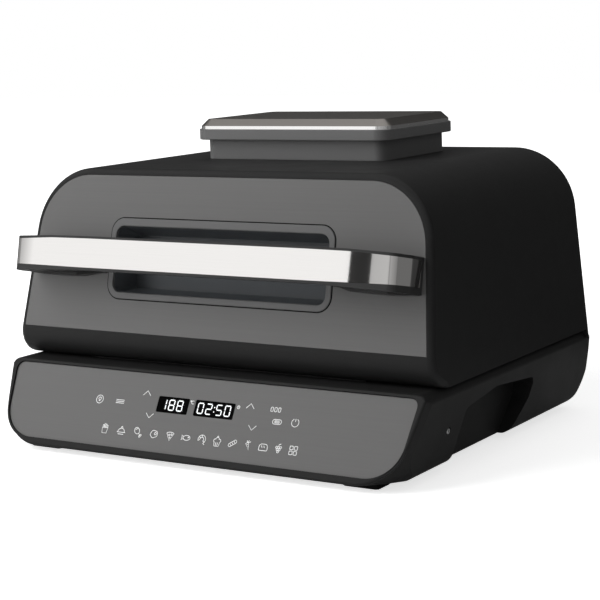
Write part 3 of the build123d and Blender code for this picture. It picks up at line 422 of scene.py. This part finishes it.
def grain_group():
    """Moulded or cast surface: fine grain, and slow changes of tone and gloss."""
    scale = ("Grain scale", "NodeSocketFloat")
    tree, given, place = surface_group("Surface grain", scale, 0.06)
    grain = add_node(tree, "ShaderNodeTexNoise", {
        "Vector": place, "Scale": given["Grain scale"], "Detail": 3.0})
    patch = add_node(tree, "ShaderNodeTexNoise", {
        "Vector": place, "Scale": 14.0, "Detail": 4.0, "Roughness": 0.6})
    return close_surface(tree, given, patch.outputs[0], grain.outputs[0])


def brushed_group():
    """Brushed or rolled metal: long fine streaks along one direction."""
    scale = ("Streak scale", "NodeSocketVector")
    tree, given, place = surface_group("Brushed streaks", scale, 0.15)
    stretched = add_node(tree, "ShaderNodeVectorMath", {0: place, 1: given["Streak scale"]},
                         operation="MULTIPLY")
    streak = add_node(tree, "ShaderNodeTexNoise", {
        "Vector": stretched.outputs[0], "Scale": 1.0, "Detail": 4.0, "Roughness": 0.65})
    return close_surface(tree, given, streak.outputs[0], streak.outputs[0])


def new_material(name):
    """Material, with its node tree and its surface node."""
    material = bpy.data.materials.new(name)
    material.use_nodes = True
    tree = material.node_tree
    return material, tree, tree.nodes["Principled BSDF"]


def new_finish(name, group, values, bump, shader):
    """Material whose colour, roughness and relief come from one of the surface groups."""
    material, tree, surface = new_material(name)
    source = add_node(tree, "ShaderNodeGroup", values, node_tree=group).outputs
    relief = add_node(tree, "ShaderNodeBump", {
        "Strength": bump, "Distance": RELIEF_DEPTH, "Height": source["Height"]})
    set_inputs(tree, surface, {
        "Base Color": source["Colour"], "Roughness": source["Roughness"],
        "Normal": relief.outputs["Normal"], **shader})
    return material


def polished_band(material, colour, roughness):
    """Makes the upright faces of a metal bright and smooth, and leaves the others as they are."""
    tree = material.node_tree
    surface = tree.nodes["Principled BSDF"]
    normal = add_node(tree, "ShaderNodeTexCoord").outputs["Normal"]
    height = add_node(tree, "ShaderNodeSeparateXYZ", {"Vector": normal}).outputs["Z"]
    mask = mapped(tree, maths(tree, "ABSOLUTE", height), *UPRIGHT_RANGE, 1.0, 0.0)
    for name, kind, (first, second, result), value in (
            ("Base Color", "RGBA", (6, 7, 2), colour),
            ("Roughness", "FLOAT", (2, 3, 0), roughness)):
        usual = surface.inputs[name].links[0].from_socket
        mix = add_node(tree, "ShaderNodeMix", {0: mask, first: usual, second: value},
                       data_type=kind)
        tree.links.new(mix.outputs[result], surface.inputs[name])


def linear(value):
    """Linear value of one screen colour channel."""
    return value / 12.92 if value <= 0.04045 else ((value + 0.055) / 1.055) ** 2.4


def tone(level, warm=0.0):
    """Linear colour of a near grey, from its screen level of 0 to 255."""
    return tuple(linear(value / 255) for value in (level + warm, level, level - warm)) + (1.0,)


def plastic(name, colour, low, high, specular, scale=1500.0, bump=0.12):
    """Moulded or coated material, its roughness between low and high."""
    values = {"Colour": colour, "Grain scale": scale,
              "Smooth roughness": low, "Rough roughness": high}
    return new_finish(name, groups["grain"], values, bump, {"Specular IOR Level": specular})


def metal(name, colour, low, high, streaks=(12.0, 2400.0, 2400.0), change=0.15, bump=0.08,
          metallic=1.0):
    """Brushed material, its roughness between low and high, with streaks per metre."""
    values = {"Colour": colour, "Streak scale": streaks, "Tone change": change,
              "Smooth roughness": low, "Rough roughness": high}
    return new_finish(name, groups["brushed"], values, bump, {"Metallic": metallic})


groups = {}
finishes = {}


# Symbols of the control panel, drawn in millimetres about their own middle

def fries():
    lines = [[(-2.3, 0.4), (2.3, 0.4), (1.7, -3.2), (-1.7, -3.2), (-2.3, 0.4)]]
    for x, high in ((-1.9, 2.3), (-0.8, 3.2), (0.4, 2.8), (1.4, 2.1)):
        lines.append([(x, 0.4), (x - 0.1, high), (x + 0.7, high), (x + 0.7, 0.4)])
    return lines


def roast():
    plate, foot = [(-3.4, -1.4), (3.4, -1.4)], [(-2.3, -2.7), (2.3, -2.7)]
    return [arc(0, -1.4, 2.7, 0, 180), plate, foot, arc(0, 1.9, 0.6)]


def drumstick():
    meat, shine = arc(-0.8, 0.9, 2.4, squash=0.78, turn=135), arc(-0.8, 0.9, 1.3, 60, 170)
    return [meat, [(0.8, -0.6), (2.2, -2.0)], arc(2.8, -1.9, 0.6), arc(2.1, -2.7, 0.6), shine]


def steak():
    corners = [(-3.1, -0.6), (-0.6, -2.8), (2.9, -1.4), (2.6, 1.9), (-1.6, 2.5)]
    return [closed(rounded_outline(corners, [1.5, 1.2, 1.4, 1.5, 1.4])), arc(1.1, 0.3, 0.8)]


def pizza():
    toppings = [arc(-0.7, 0.6, 0.5), arc(1.1, 0.9, 0.5), arc(0.2, -1.1, 0.45)]
    return [[(-2.8, 1.7), (0.2, -3.2), (2.9, 1.7)], arc(0, -3.4, 5.9, 61, 119), *toppings]


def fish():
    tail = [(-1.8, 0.6), (-3.4, 1.6), (-3.0, 0), (-3.4, -1.6), (-1.8, -0.6)]
    return [arc(0.6, 0, 2.7, squash=0.6), tail, arc(2.0, 0.4, 0.3)]


def shrimp():
    tail = [[(1.6, -2.3), (2.9, -3.1)], [(1.2, -0.7), (2.6, -1.6)]]
    bands = [[(-2.5, -0.8), (-1.2, 0.2)], [(0.1, 1.6), (0.1, 3.1)], [(-1.0, 1.1), (-2.1, 2.0)]]
    return [arc(0.2, 0.2, 2.9, -60, 200), arc(0.2, 0.2, 1.4, -40, 180), *tail, *bands]


def cupcake():
    cup = [(-2.3, -0.2), (-1.6, -3.1), (1.6, -3.1), (2.3, -0.2)]
    folds = [[(-0.7, -0.6), (-0.5, -2.7)], [(0.7, -0.6), (0.5, -2.7)]]
    return [cup, arc(-1.6, 0.5, 1.1, 60, 260), arc(1.6, 0.5, 1.1, -80, 120),
            arc(0, 1.2, 1.5, 25, 155), arc(0, 3.1, 0.45), *folds]


def sausage():
    turned = [(x * 0.82 - y * 0.57, x * 0.57 + y * 0.82)
              for x, y in box_outline(0, 0, 6.4, 2.2, 1.05)]
    marks = [[(d - 0.5, 0.7 * d + 0.6), (d + 0.5, 0.7 * d - 0.6)] for d in (-1.3, 0, 1.3)]
    return [turned, *marks]


def carrot():
    root = [(-1.9, 0.9), (-1.0, 1.7), (0.1, 1.4), (1.1, -3.1), (-1.9, 0.9)]
    marks = [[(-0.9, 0.2), (-0.2, 0.5)], [(0.0, -1.1), (0.6, -0.8)]]
    leaves = [[(-1.0, 1.7), (-1.3, 3.1)], [(-0.8, 1.7), (0.3, 3.2)], [(-0.6, 1.6), (1.6, 2.4)]]
    return [root, *marks, *leaves]


def loaf():
    corners = [(-3.1, -2.3), (3.1, -2.3), (3.1, 1.9), (-3.1, 1.9)]
    cuts = [[(-1.5, 0.9), (-0.7, -0.5)], [(0.2, 0.9), (1.0, -0.5)]]
    return [closed(rounded_outline(corners, [0.5, 0.5, 1.9, 1.9])), *cuts]


def grapes():
    places = [(-1.5, 0.9), (0, 0.9), (1.5, 0.9), (-0.75, -0.5), (0.75, -0.5), (0, -1.9)]
    return [arc(x, y, 0.7, steps=12) for x, y in places] + [[(0, 1.6), (0, 2.8), (1.4, 3.2)]]


def four_squares():
    return [box_outline(x, y, 2.3, 2.3, 0.3, 2) for x in (-1.6, 1.6) for y in (-1.6, 1.6)]


FOODS = (fries, roast, drumstick, steak, pizza, fish, shrimp,
         cupcake, sausage, carrot, loaf, grapes, four_squares)


def key_symbols():
    """Lamp, menu, up and down keys, clock, steam pill and power key of the upper row."""
    lamp = [arc(0, 0, 3.6, steps=28), arc(0, 0.6, 1.3), [(-0.9, -1.5), (0.9, -1.5)]]
    menu = [[(-4.4, y), (4.4, y)] for y in (-1.4, 0, 1.4)]
    degree = [arc(-1.3, 0.9, 0.5, steps=10), arc(0.7, 0, 1.4, 50, 310, 12)]
    clock = [arc(0, 0, 1.3, steps=16), [(0, 0.8), (0, 0), (0.7, 0)]]
    slots = [box_outline(x, 0, 2.2, 3.6, 0.7, 3) for x in (-3.6, 0, 3.6)]
    pill = [box_outline(0, 0, 8.6, 4.0, 1.95),
            *([(-x, y), (x, y)] for x, y in ((2.6, 0), (2.4, -0.9), (2.4, 0.9)))]
    power = [arc(0, 0, 3.4, 118, 422, 24), [(0, 3.4), (0, 0.8)]]
    lines = moved(lamp, -103.6, -27.6) + moved(menu, -81.3, -27.7)
    for x, tip, ends in ((-54.8, -15.8, -20.0), (-47.0, -39.3, -35.3),
                         (51.8, -17.7, -21.9), (58.0, -39.9, -35.9)):
        lines.append([(x - 3.9, ends), (x, tip), (x + 3.9, ends)])
    lines += moved(degree, -6.6, -21.9) + moved(clock, 40.3, -21.9)
    return lines + moved(slots, 76.7, -20.6) + moved(pill, 80.5, -30.7) + moved(power, 97.8, -29.8)


def digit_segments(figure, x, y, line):
    """Six-sided outlines of the lit segments of one figure about its middle."""
    half, rise = (FIGURE_WIDE - line) / 2, (FIGURE_HIGH - line) / 2
    ends = {"a": ((-half, rise), (half, rise)), "g": ((-half, 0), (half, 0)),
            "d": ((-half, -rise), (half, -rise)), "f": ((-half, rise), (-half, 0)),
            "b": ((half, rise), (half, 0)), "e": ((-half, 0), (-half, -rise)),
            "c": ((half, 0), (half, -rise))}
    shapes = []
    for key in SEGMENTS[figure]:
        start, end = (Vector(point) + Vector((x, y)) for point in ends[key])
        along = (end - start).normalized()
        side = Vector((-along.y, along.x)) * line / 2
        start, end = start + along * SEGMENT_GAP, end - along * SEGMENT_GAP
        inset = along * line / 2
        shapes.append([start, start + inset - side, end - inset - side,
                       end, end - inset + side, start + inset + side])
    return shapes


def figure_shapes(line):
    """Outlines of the lit segments of both displays and of the colon."""
    shapes = []
    for text, centre in DISPLAYS:
        for index, figure in enumerate(text):
            x = centre + (index - (len(text) - 1) / 2) * FIGURE_PITCH
            if len(text) == 4:
                x += -COLON_ROOM if index < 2 else COLON_ROOM
            shapes += digit_segments(figure, x, FIGURE_ROW, line)
    return shapes + [arc(COLON_X, y, COLON_RADIUS, 0, 300, 5) for y in COLON_ROWS]


# User settings

def colour_setting(name, description, default):
    return bpy.props.FloatVectorProperty(name=name, description=description, size=4,
                                         subtype="COLOR", min=0.0, max=1.0, default=default)


def size_setting(name, description, default):
    return bpy.props.FloatProperty(name=name, description=description, default=default, min=0.0,
                                   unit="LENGTH")


class GrillPrint(bpy.types.PropertyGroup):
    """Symbols and figures of the control panel"""
    colour: colour_setting("Print colour", "Colour of the symbols on the control panel", tone(250))
    line: size_setting("Line width", "Width of a printed line", 0.00055)
    digit_line: size_setting("Segment width", "Width of a display segment", 0.001)
    food_scale: bpy.props.FloatProperty(name="Food scale", description="Size of the food symbols",
                                        default=1.3, min=0.2)


class GrillTrim(bpy.types.PropertyGroup):
    """Seams and edges; the seam is a painted shadow"""
    bead: size_setting("Bead radius", "Radius of the bead round the control panel", 0.00085)
    # The seam is a painted shadow: a dark tube laid in the gap round the recess bezel
    seam: size_setting("Seam radius", "Radius of the dark seam round the finger recess", 0.001)
    edge: size_setting("Soft edge", "Width of the rounding on moulded edges", 0.0006)


class GrillStage(bpy.types.PropertyGroup):
    """Camera, light and floor"""
    lens: bpy.props.FloatProperty(name="Lens", description="Focal length of the camera",
                                  default=103.96, unit="CAMERA")
    lamp: bpy.props.FloatProperty(name="Lamp power", description="Power the lamps take shares of",
                                  default=55.0, unit="POWER")
    floor: colour_setting("Floor colour", "Colour of the floor", (0.9, 0.9, 0.9, 1.0))


# Operators

class GRILL_OT_finishes(bpy.types.Operator):
    """Build the materials and give each CAD piece the one for its slot"""
    bl_idname = "grill.finishes"
    bl_label = "Finishes"

    def execute(self, context):
        groups["grain"] = grain_group()
        groups["brushed"] = brushed_group()
        finishes.update({
            "shell_plastic": plastic("Housing plastic", tone(37), 0.42, 0.52, 0.16),
            "cover_plastic": plastic("Cover plastic", tone(24), 0.5, 0.6, 0.2),
            "tray_plastic": plastic("Tray plastic", tone(110), 0.35, 0.45, 0.35),
            "fascia_metal": metal("Fascia plate", tone(99, 0.5), 0.4, 0.5,
                                  streaks=(5.0, 1400.0, 1400.0), change=0.22, bump=0.05,
                                  metallic=0.0),
            "handle_plastic": plastic("Handle plastic", tone(48), 0.38, 0.48, 0.3),
            "recess_plastic": plastic("Recess plastic", tone(80, -3.0), 0.36, 0.46, 0.3),
            "strip_steel": metal("Strip steel", tone(238, 2.0), 0.03, 0.06, change=0.07, bump=0.01),
            "cap_metal": metal("Cap metal", tone(134, 4.0), 0.3, 0.4,
                               streaks=(700.0, 12.0, 700.0), change=0.12),
            "foot_rubber": plastic("Foot rubber", tone(22), 0.75, 0.85, 0.15, 900.0, 0.3),
            "window_plastic": plastic("Window plastic", tone(3), 0.2, 0.3, 0.02, 400.0, 0.01),
            "circuit_board": plastic("Circuit board", tone(60), 0.35, 0.5, 0.4, 700.0, 0.2),
            "board_plastic": plastic("Board plastic", tone(35), 0.4, 0.55, 0.4),
            "contact_metal": metal("Contact metal", tone(190), 0.25, 0.35),
            "liner_metal": metal("Liner metal", tone(200), 0.2, 0.32),
            "well_metal": plastic("Well coating", tone(66), 0.4, 0.5, 0.4, 1100.0, 0.2),
            "insulation": plastic("Insulation", tone(200), 0.85, 0.95, 0.2, 500.0, 0.8),
            "fitting_steel": metal("Fitting steel", tone(185), 0.28, 0.4),
            "element_steel": metal("Element steel", tone(105, 4.0), 0.35, 0.5),
            "motor_steel": metal("Motor steel", tone(170), 0.3, 0.42),
            "wheel_plastic": plastic("Wheel plastic", tone(45), 0.45, 0.55, 0.35),
            "pot_coating": plastic("Pot coating", tone(38), 0.38, 0.5, 0.45, 1800.0, 0.3),
        })
        polished_band(finishes["cap_metal"], tone(250, 1.0), roughness=0.12)
        own = {
            # The motor cover's light grey is partly its own grey and partly painted light, raised
            # to make up for the shade under the cap tray
            "motor_cover": plastic("Motor cover plastic", tone(108), 0.4, 0.5, 0.3),
            "recess_bezel": plastic("Bezel plastic", tone(106), 0.4, 0.5, 0.3),
        }
        for name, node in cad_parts.items():
            for slot in node.material_slots:
                slot.material = own.get(name) or finishes[slot.material.name.split(".")[0]]
        return {"FINISHED"}


class GRILL_OT_panel_print(bpy.types.Operator):
    """Printed symbols of the control panel"""
    bl_idname = "grill.panel_print"
    bl_label = "Panel print"

    def execute(self, context):
        settings = context.scene.grill_print
        finish = plastic("Panel print", settings.colour, 0.45, 0.55, 0.3, 900.0, 0.02)
        shader = finish.node_tree.nodes["Principled BSDF"]
        shader.inputs["Emission Strength"].default_value = PRINT_GLOW
        values = {"Line width": settings.line, "Film thickness": PRINT_THICKNESS * MM,
                  "Finish": finish}
        lines = key_symbols()
        for food, x in zip(FOODS, FOOD_X):
            lines += moved(scaled(food(), settings.food_scale), x, FOOD_ROW)
        piece = drawn_lines("panel_print", lines, values, line_tree(), PANEL, PRINT_LIFT)
        return {"FINISHED"}


class GRILL_OT_figures(bpy.types.Operator):
    """Lit figures behind the two display windows"""
    bl_idname = "grill.figures"
    bl_label = "Display figures"

    def execute(self, context):
        line = context.scene.grill_print.digit_line / MM
        finish = plastic("Lit figures", tone(235), 0.3, 0.4, 0.3, 300.0, 0.01)
        shader = finish.node_tree.nodes["Principled BSDF"]
        shader.inputs["Emission Color"].default_value = FIGURE_COLOUR
        shader.inputs["Emission Strength"].default_value = FIGURE_GLOW

        def build(work):
            for shape in figure_shapes(line):
                low, high = add_ring(work, shape), add_ring(work, shape, FIGURE_THICKNESS)
                work.faces.new(list(reversed(low)))
                work.faces.new(high)
                add_wall(work, low, high)
            bmesh.ops.recalc_face_normals(work, faces=work.faces)
        piece = add_object("display_figures", filled_mesh("display_figures", build))
        piece.data.materials.append(finish)
        piece.data.transform(PANEL.matrix(FIGURE_LIFT))
        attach(piece, "base")
        return {"FINISHED"}


class GRILL_OT_panel_bead(bpy.types.Operator):
    """Low raised bead round the control panel"""
    bl_idname = "grill.panel_bead"
    bl_label = "Panel bead"

    def execute(self, context):
        (low_x, low_v, low_radius), (top_x, top_v, top_radius) = (
            (x + BEAD_GAP, v, radius + BEAD_GAP) for x, v, radius in PANEL_CORNERS)
        low_v, top_v = low_v - BEAD_GAP, top_v + BEAD_GAP
        corners = [(-low_x, low_v), (low_x, low_v), (top_x, top_v), (-top_x, top_v)]
        radii = [low_radius, low_radius, top_radius, top_radius]
        path = closed(rounded_outline(corners, radii, steps=14))
        values = {"Bead radius": context.scene.grill_trim.bead, "Finish": finishes["shell_plastic"]}
        piece = drawn_lines("panel_bead", [path], values, tube_tree(), PANEL, BEAD_LIFT)
        piece.data.shade_smooth()
        return {"FINISHED"}


class GRILL_OT_recess_seam(bpy.types.Operator):
    """Painted shadow: a dark tube in the seam round the bezel of the finger recess"""
    bl_idname = "grill.recess_seam"
    bl_label = "Recess seam"

    def execute(self, context):
        # Painted shadow: a near-black tube that darkens the gap round the bezel
        seam = plastic("Seam shadow", tone(12), 0.6, 0.7, 0.1)
        values = {"Bead radius": context.scene.grill_trim.seam, "Finish": seam}
        path = box_outline(*RECESS, steps=10)
        piece = drawn_lines("recess_seam", [path], values, tube_tree(), FASCIA, SEAM_SHADE_LIFT, "lid")
        piece.data.shade_smooth()
        return {"FINISHED"}


class GRILL_OT_strip(bpy.types.Operator):
    """Handle strip, with evenly shaded arched ends"""
    bl_idname = "grill.strip"
    bl_label = "Handle strip"

    def execute(self, context):
        mesh = filled_mesh("handle_strip_look", self.build)
        mesh.shade_smooth()
        for edge, smooth in zip(mesh.edges, self.smooth_edges(mesh)):
            edge.use_edge_sharp = not smooth
        normals = [normal for face in mesh.polygons for normal in self.front_normals(mesh, face)]
        mesh.normals_split_custom_set(normals)
        mesh.materials.clear()
        mesh.materials.append(finishes["strip_steel"])
        piece = add_object("handle_strip_look", mesh)
        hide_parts("handle_strip")
        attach(piece, "lid")
        return {"FINISHED"}

    def build(self, work):
        """The CAD strip, cut across at even steps along its arched ends."""
        work.from_mesh(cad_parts["handle_strip"].data)
        bmesh.ops.remove_doubles(work, verts=work.verts, dist=WELD)
        for index in range(STRIP_CUTS + 1):
            reach = STRIP_FLAT + (STRIP_ARCH_END - STRIP_FLAT) * index / STRIP_CUTS
            for side in (-1, 1):
                every = work.verts[:] + work.edges[:] + work.faces[:]
                bmesh.ops.bisect_plane(work, geom=every, plane_co=(side * reach * MM, 0, 0),
                                       plane_no=(1, 0, 0), dist=WELD / 2)

    def smooth_edges(self, mesh):
        """Whether each edge of the strip is shaded smooth."""
        work = bmesh.new()
        work.from_mesh(mesh)
        smooth = [len(edge.link_faces) == 2 and edge.calc_face_angle(0) < SMOOTH_ANGLE
                  for edge in work.edges]
        work.free()
        return smooth

    def front_normals(self, mesh, face):
        """True normals of the arched front, and zeros, which keep the mesh's own, elsewhere."""
        xs = [mesh.vertices[index].co.x / MM for index in face.vertices]
        farthest = max(abs(x) for x in xs)
        if face.normal.dot(FASCIA.out) < STRIP_FACING or farthest > STRIP_ARCH_END + STRIP_SLACK:
            return [(0, 0, 0)] * len(xs)
        turns = [asin(max(0.0, abs(x) - STRIP_FLAT) / STRIP_RADIUS) * (1 if x > 0 else -1)
                 for x in xs]
        return [tuple(FASCIA.out * cos(turn) + FASCIA.right * sin(turn)) for turn in turns]


class GRILL_OT_soft_edges(bpy.types.Operator):
    """Rounded edges on the plain moulded and pressed parts"""
    bl_idname = "grill.soft_edges"
    bl_label = "Soft edges"

    def execute(self, context):
        edge = context.scene.grill_trim.edge / MM
        for node, share in (("motor_cover", 1.0), ("cap_tray", 0.8), ("recess_bezel", 0.8)):
            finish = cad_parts[node].material_slots[0].material
            soft_edges(node, edge * share, "lid", finish)
        return {"FINISHED"}


class GRILL_OT_screws(bpy.types.Operator):
    """Cross-head screws of the base, the handle and the motor bracket"""
    bl_idname = "grill.screws"
    bl_label = "Screws"

    def execute(self, context):
        tree = screw_tree()
        steel = finishes["fitting_steel"]
        dark = metal("Dark screw", tone(75), 0.35, 0.45, metallic=0.9)
        bright = metal("Bright screw", tone(205), 0.2, 0.3)
        under = [((x, y, 5.18), (0, 0, -1)) for x in (-166, 166) for y in (-120, -15, 88)]
        sides = [((x, -100, 35.7), (x, 0, 0)) for x in (-203.4, 203.4)]
        grips = [(FASCIA.point(x, v, -4.4), -FASCIA.out) for x in (-178, 178) for v in (58, 71)]
        deck = [((x, y, 224.02), (0, 0, 1)) for x in (-70, 70) for y in (2, 106)]
        for node, body, seats, sizes, finish in (
                ("bottom_screws", "base", under, COVER_SCREW, dark),
                ("side_screws", "base", sides, SIDE_SCREW, bright),
                ("handle_screws", "lid", grips, HANDLE_SCREW, steel),
                ("bracket_screws", "lid", deck, BRACKET_SCREW, steel)):
            self.add_set(tree, node, body, seats, sizes, finish)
        return {"FINISHED"}

    def add_set(self, tree, node, body, seats, sizes, finish):
        """One node's screws: each head's seat in millimetres, and the way the head faces."""
        model = add_object("screw_model",
                           filled_mesh("screw_model", lambda work: self.build_screw(work, *sizes)))
        points = bpy.data.meshes.new(node)
        points.from_pydata([[value * MM for value in place] for place, _ in seats], [], [])
        ways = points.attributes.new("facing", "FLOAT_VECTOR", "POINT")
        for index, (_, facing) in enumerate(seats):
            ways.data[index].vector = Vector(facing).normalized()
        values = {"Screw": model, "Finish": finish}
        piece = run_tree(add_object(node + "_points", points), tree, values, node + "_look")
        bpy.data.objects.remove(model)
        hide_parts(node)
        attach(piece, body)

    def build_screw(self, work, head, high, shank, length):
        """Pan head with a cross recess over a plain shank, its seat at the origin."""
        profile = [(shank, -length), (shank, 0.0), (head, 0.0), (head, high * 0.55),
                   (head * 0.86, high * 0.9)]
        turns = [2 * pi * side / SCREW_SIDES for side in range(SCREW_SIDES)]
        rings = [add_ring(work, [(radius * cos(turn), radius * sin(turn)) for turn in turns], z)
                 for radius, z in profile]
        for low, high_ring in zip(rings, rings[1:]):
            add_wall(work, low, high_ring)
        work.faces.new(list(reversed(rings[0])))
        arm, half = head * CROSS_ARM, head * CROSS_HALF
        cross = [(arm, -half), (arm, half), (half, half), (half, arm), (-half, arm), (-half, half),
                 (-arm, half), (-arm, -half), (-half, -half), (-half, -arm), (half, -arm),
                 (half, -half)]
        rim = add_ring(work, cross, high)
        floor = add_ring(work, scaled([cross], CROSS_TAPER)[0], high * CROSS_FLOOR)
        add_wall(work, rim, floor)
        work.faces.new(floor)
        edges = [work.edges.get((ring[index], ring[(index + 1) % len(ring)]))
                 for ring in (rings[-1], rim) for index in range(len(ring))]
        bmesh.ops.triangle_fill(work, edges=edges, use_beauty=True)
        bmesh.ops.recalc_face_normals(work, faces=work.faces)


class GRILL_OT_stage(bpy.types.Operator):
    """Floor, soft studio light and the camera"""
    bl_idname = "grill.stage"
    bl_label = "Stage"

    def execute(self, context):
        settings = context.scene.grill_stage
        self.add_camera(context, settings.lens)
        self.add_floor(settings.floor)
        self.add_world(context)
        for name, place, size, share in LAMPS:
            self.add_lamp(context, name, place, size, settings.lamp * share)
        self.add_cloth()
        for name, middle, azimuth, columns in CARDS:
            self.add_card(name, middle, radians(azimuth), columns)
        context.scene.view_settings.view_transform = "Standard"
        return {"FINISHED"}

    def add_camera(self, context, lens):
        level = Vector((cos(CAMERA_YAW), sin(CAMERA_YAW), 0))
        ahead = Vector((-sin(CAMERA_YAW) * cos(CAMERA_PITCH), cos(CAMERA_YAW) * cos(CAMERA_PITCH),
                        -sin(CAMERA_PITCH)))
        above = level.cross(ahead)
        right = level * cos(CAMERA_ROLL) + above * sin(CAMERA_ROLL)
        up = above * cos(CAMERA_ROLL) - level * sin(CAMERA_ROLL)
        data = bpy.data.cameras.new("Camera")
        data.lens = lens
        data.sensor_width = 36.0
        data.clip_start = 0.05
        camera = bpy.data.objects.new("Camera", data)
        context.scene.collection.objects.link(camera)
        turn = Matrix((right, up, -ahead)).transposed().to_4x4()
        camera.matrix_world = Matrix.Translation(CAMERA_PLACE) @ turn
        context.scene.camera = camera

    def add_floor(self, colour):
        """Floor paper, which the camera sees glow a little more with the distance."""
        def build(work):
            bmesh.ops.create_grid(work, x_segments=1, y_segments=1, size=FLOOR_HALF,
                                  matrix=Matrix.Translation((0, 0, -FLOOR_DROP)))
        floor = add_object("floor", filled_mesh("floor", build))
        material, tree, surface = new_material("Floor paper")
        seen = add_node(tree, "ShaderNodeLightPath").outputs["Is Camera Ray"]
        place = add_node(tree, "ShaderNodeNewGeometry").outputs["Position"]
        reach = add_node(tree, "ShaderNodeVectorMath", {0: place}, operation="LENGTH")
        glow = mapped(tree, reach.outputs["Value"], *FLOOR_GLOW)
        set_inputs(tree, surface, {
            "Base Color": colour, "Roughness": 0.9, "Specular IOR Level": 0.0,
            "Emission Color": (1, 1, 1, 1),
            "Emission Strength": maths(tree, "MULTIPLY", seen, glow)})
        floor.data.materials.append(material)

    def add_cloth(self):
        """Dark studio cloth on the floor and behind the object, seen only in reflections."""
        places, faces = [], []
        count = len(CLOTH_RINGS)
        for index in range(CLOTH_STEPS + 1):
            angle = radians(CLOTH_START + CLOTH_SWEEP * index / CLOTH_STEPS)
            places += [((reach * cos(angle), reach * sin(angle), z), glow)
                       for reach, z, glow in CLOTH_RINGS]
        for index in range(CLOTH_STEPS):
            for low in range(count - 1):
                first = count * index + low
                faces.append((first, first + 1, first + count + 1, first + count))
        self.add_reflector("dark_cloth", places, faces)

    def add_card(self, name, middle, azimuth, columns):
        """Upright reflector: columns of (distance from its middle, glow)."""
        side = Vector((-sin(azimuth), cos(azimuth), 0))
        places = [(Vector(middle) + side * reach + Vector((0, 0, z)), glow)
                  for reach, glow in columns for z in (-CARD_HALF_HEIGHT, CARD_HALF_HEIGHT)]
        faces = [(2 * k, 2 * k + 1, 2 * k + 3, 2 * k + 2) for k in range(len(columns) - 1)]
        self.add_reflector(name, places, faces)

    def add_reflector(self, name, places, faces):
        """Glowing surface that only reflections show: its points, each with its glow, and faces."""
        mesh = bpy.data.meshes.new(name)
        mesh.from_pydata([tuple(place) for place, _ in places], [], faces)
        glow = mesh.attributes.new("glow", "FLOAT", "POINT")
        for index, (_, value) in enumerate(places):
            glow.data[index].value = value
        material, tree, surface = new_material(name)
        source = add_node(tree, "ShaderNodeAttribute", attribute_name="glow")
        set_inputs(tree, surface, {
            "Base Color": (0, 0, 0, 1), "Specular IOR Level": 0.0,
            "Emission Color": (1, 1, 1, 1), "Emission Strength": source.outputs["Fac"]})
        mesh.materials.append(material)
        reflector = add_object(name, mesh)
        reflector.visible_camera = False
        reflector.visible_diffuse = False
        reflector.visible_shadow = False
        reflector.visible_transmission = False

    def add_world(self, context):
        """White surroundings, bright to the eye and in reflections, and dim as light."""
        world = bpy.data.worlds.new("Studio")
        world.use_nodes = True
        tree = world.node_tree
        path = add_node(tree, "ShaderNodeLightPath").outputs
        seen = maths(tree, "MAXIMUM", path["Is Camera Ray"], path["Is Glossy Ray"])
        seen = maths(tree, "MAXIMUM", seen, path["Is Transmission Ray"])
        power = mapped(tree, seen, 0.0, 1.0, WORLD_LIGHT, 1.0)
        set_inputs(tree, tree.nodes["Background"], {"Color": (1, 1, 1, 1), "Strength": power})
        context.scene.world = world

    def add_lamp(self, context, name, place, size, power):
        """Square soft lamp that reflections don't show."""
        data = bpy.data.lights.new(name, "AREA")
        data.shape = "SQUARE"
        data.size = size
        data.energy = power
        lamp = bpy.data.objects.new(name, data)
        lamp.location = place
        lamp.visible_glossy = False
        ahead = Vector(LAMP_AIM) - Vector(place)
        lamp.rotation_euler = ahead.to_track_quat("-Z", "Y").to_euler()
        context.scene.collection.objects.link(lamp)


class GRILL_PT_sidebar(bpy.types.Panel):
    """Lists the operators in the order they are run"""
    bl_idname = "GRILL_PT_sidebar"
    bl_label = "Air Fryer Grill"
    bl_space_type = "VIEW_3D"
    bl_region_type = "UI"
    bl_category = "Grill"

    def draw(self, context):
        for operator in OPERATORS:
            self.layout.operator(operator.bl_idname)


OPERATORS = (
    GRILL_OT_finishes,
    GRILL_OT_panel_print,
    GRILL_OT_figures,
    GRILL_OT_panel_bead,
    GRILL_OT_recess_seam,
    GRILL_OT_strip,
    GRILL_OT_soft_edges,
    GRILL_OT_screws,
    GRILL_OT_stage,
)
CLASSES = (GrillPrint, GrillTrim, GrillStage, *OPERATORS, GRILL_PT_sidebar)


def register():
    for item in CLASSES:
        bpy.utils.register_class(item)
    bpy.types.Scene.grill_print = bpy.props.PointerProperty(type=GrillPrint)
    bpy.types.Scene.grill_trim = bpy.props.PointerProperty(type=GrillTrim)
    bpy.types.Scene.grill_stage = bpy.props.PointerProperty(type=GrillStage)


def unregister():
    del bpy.types.Scene.grill_stage
    del bpy.types.Scene.grill_trim
    del bpy.types.Scene.grill_print
    for item in reversed(CLASSES):
        bpy.utils.unregister_class(item)


def main():
    register()
    for operator in OPERATORS:
        getattr(bpy.ops.grill, operator.bl_idname.split(".")[1])()


if __name__ == "__main__":
    main()
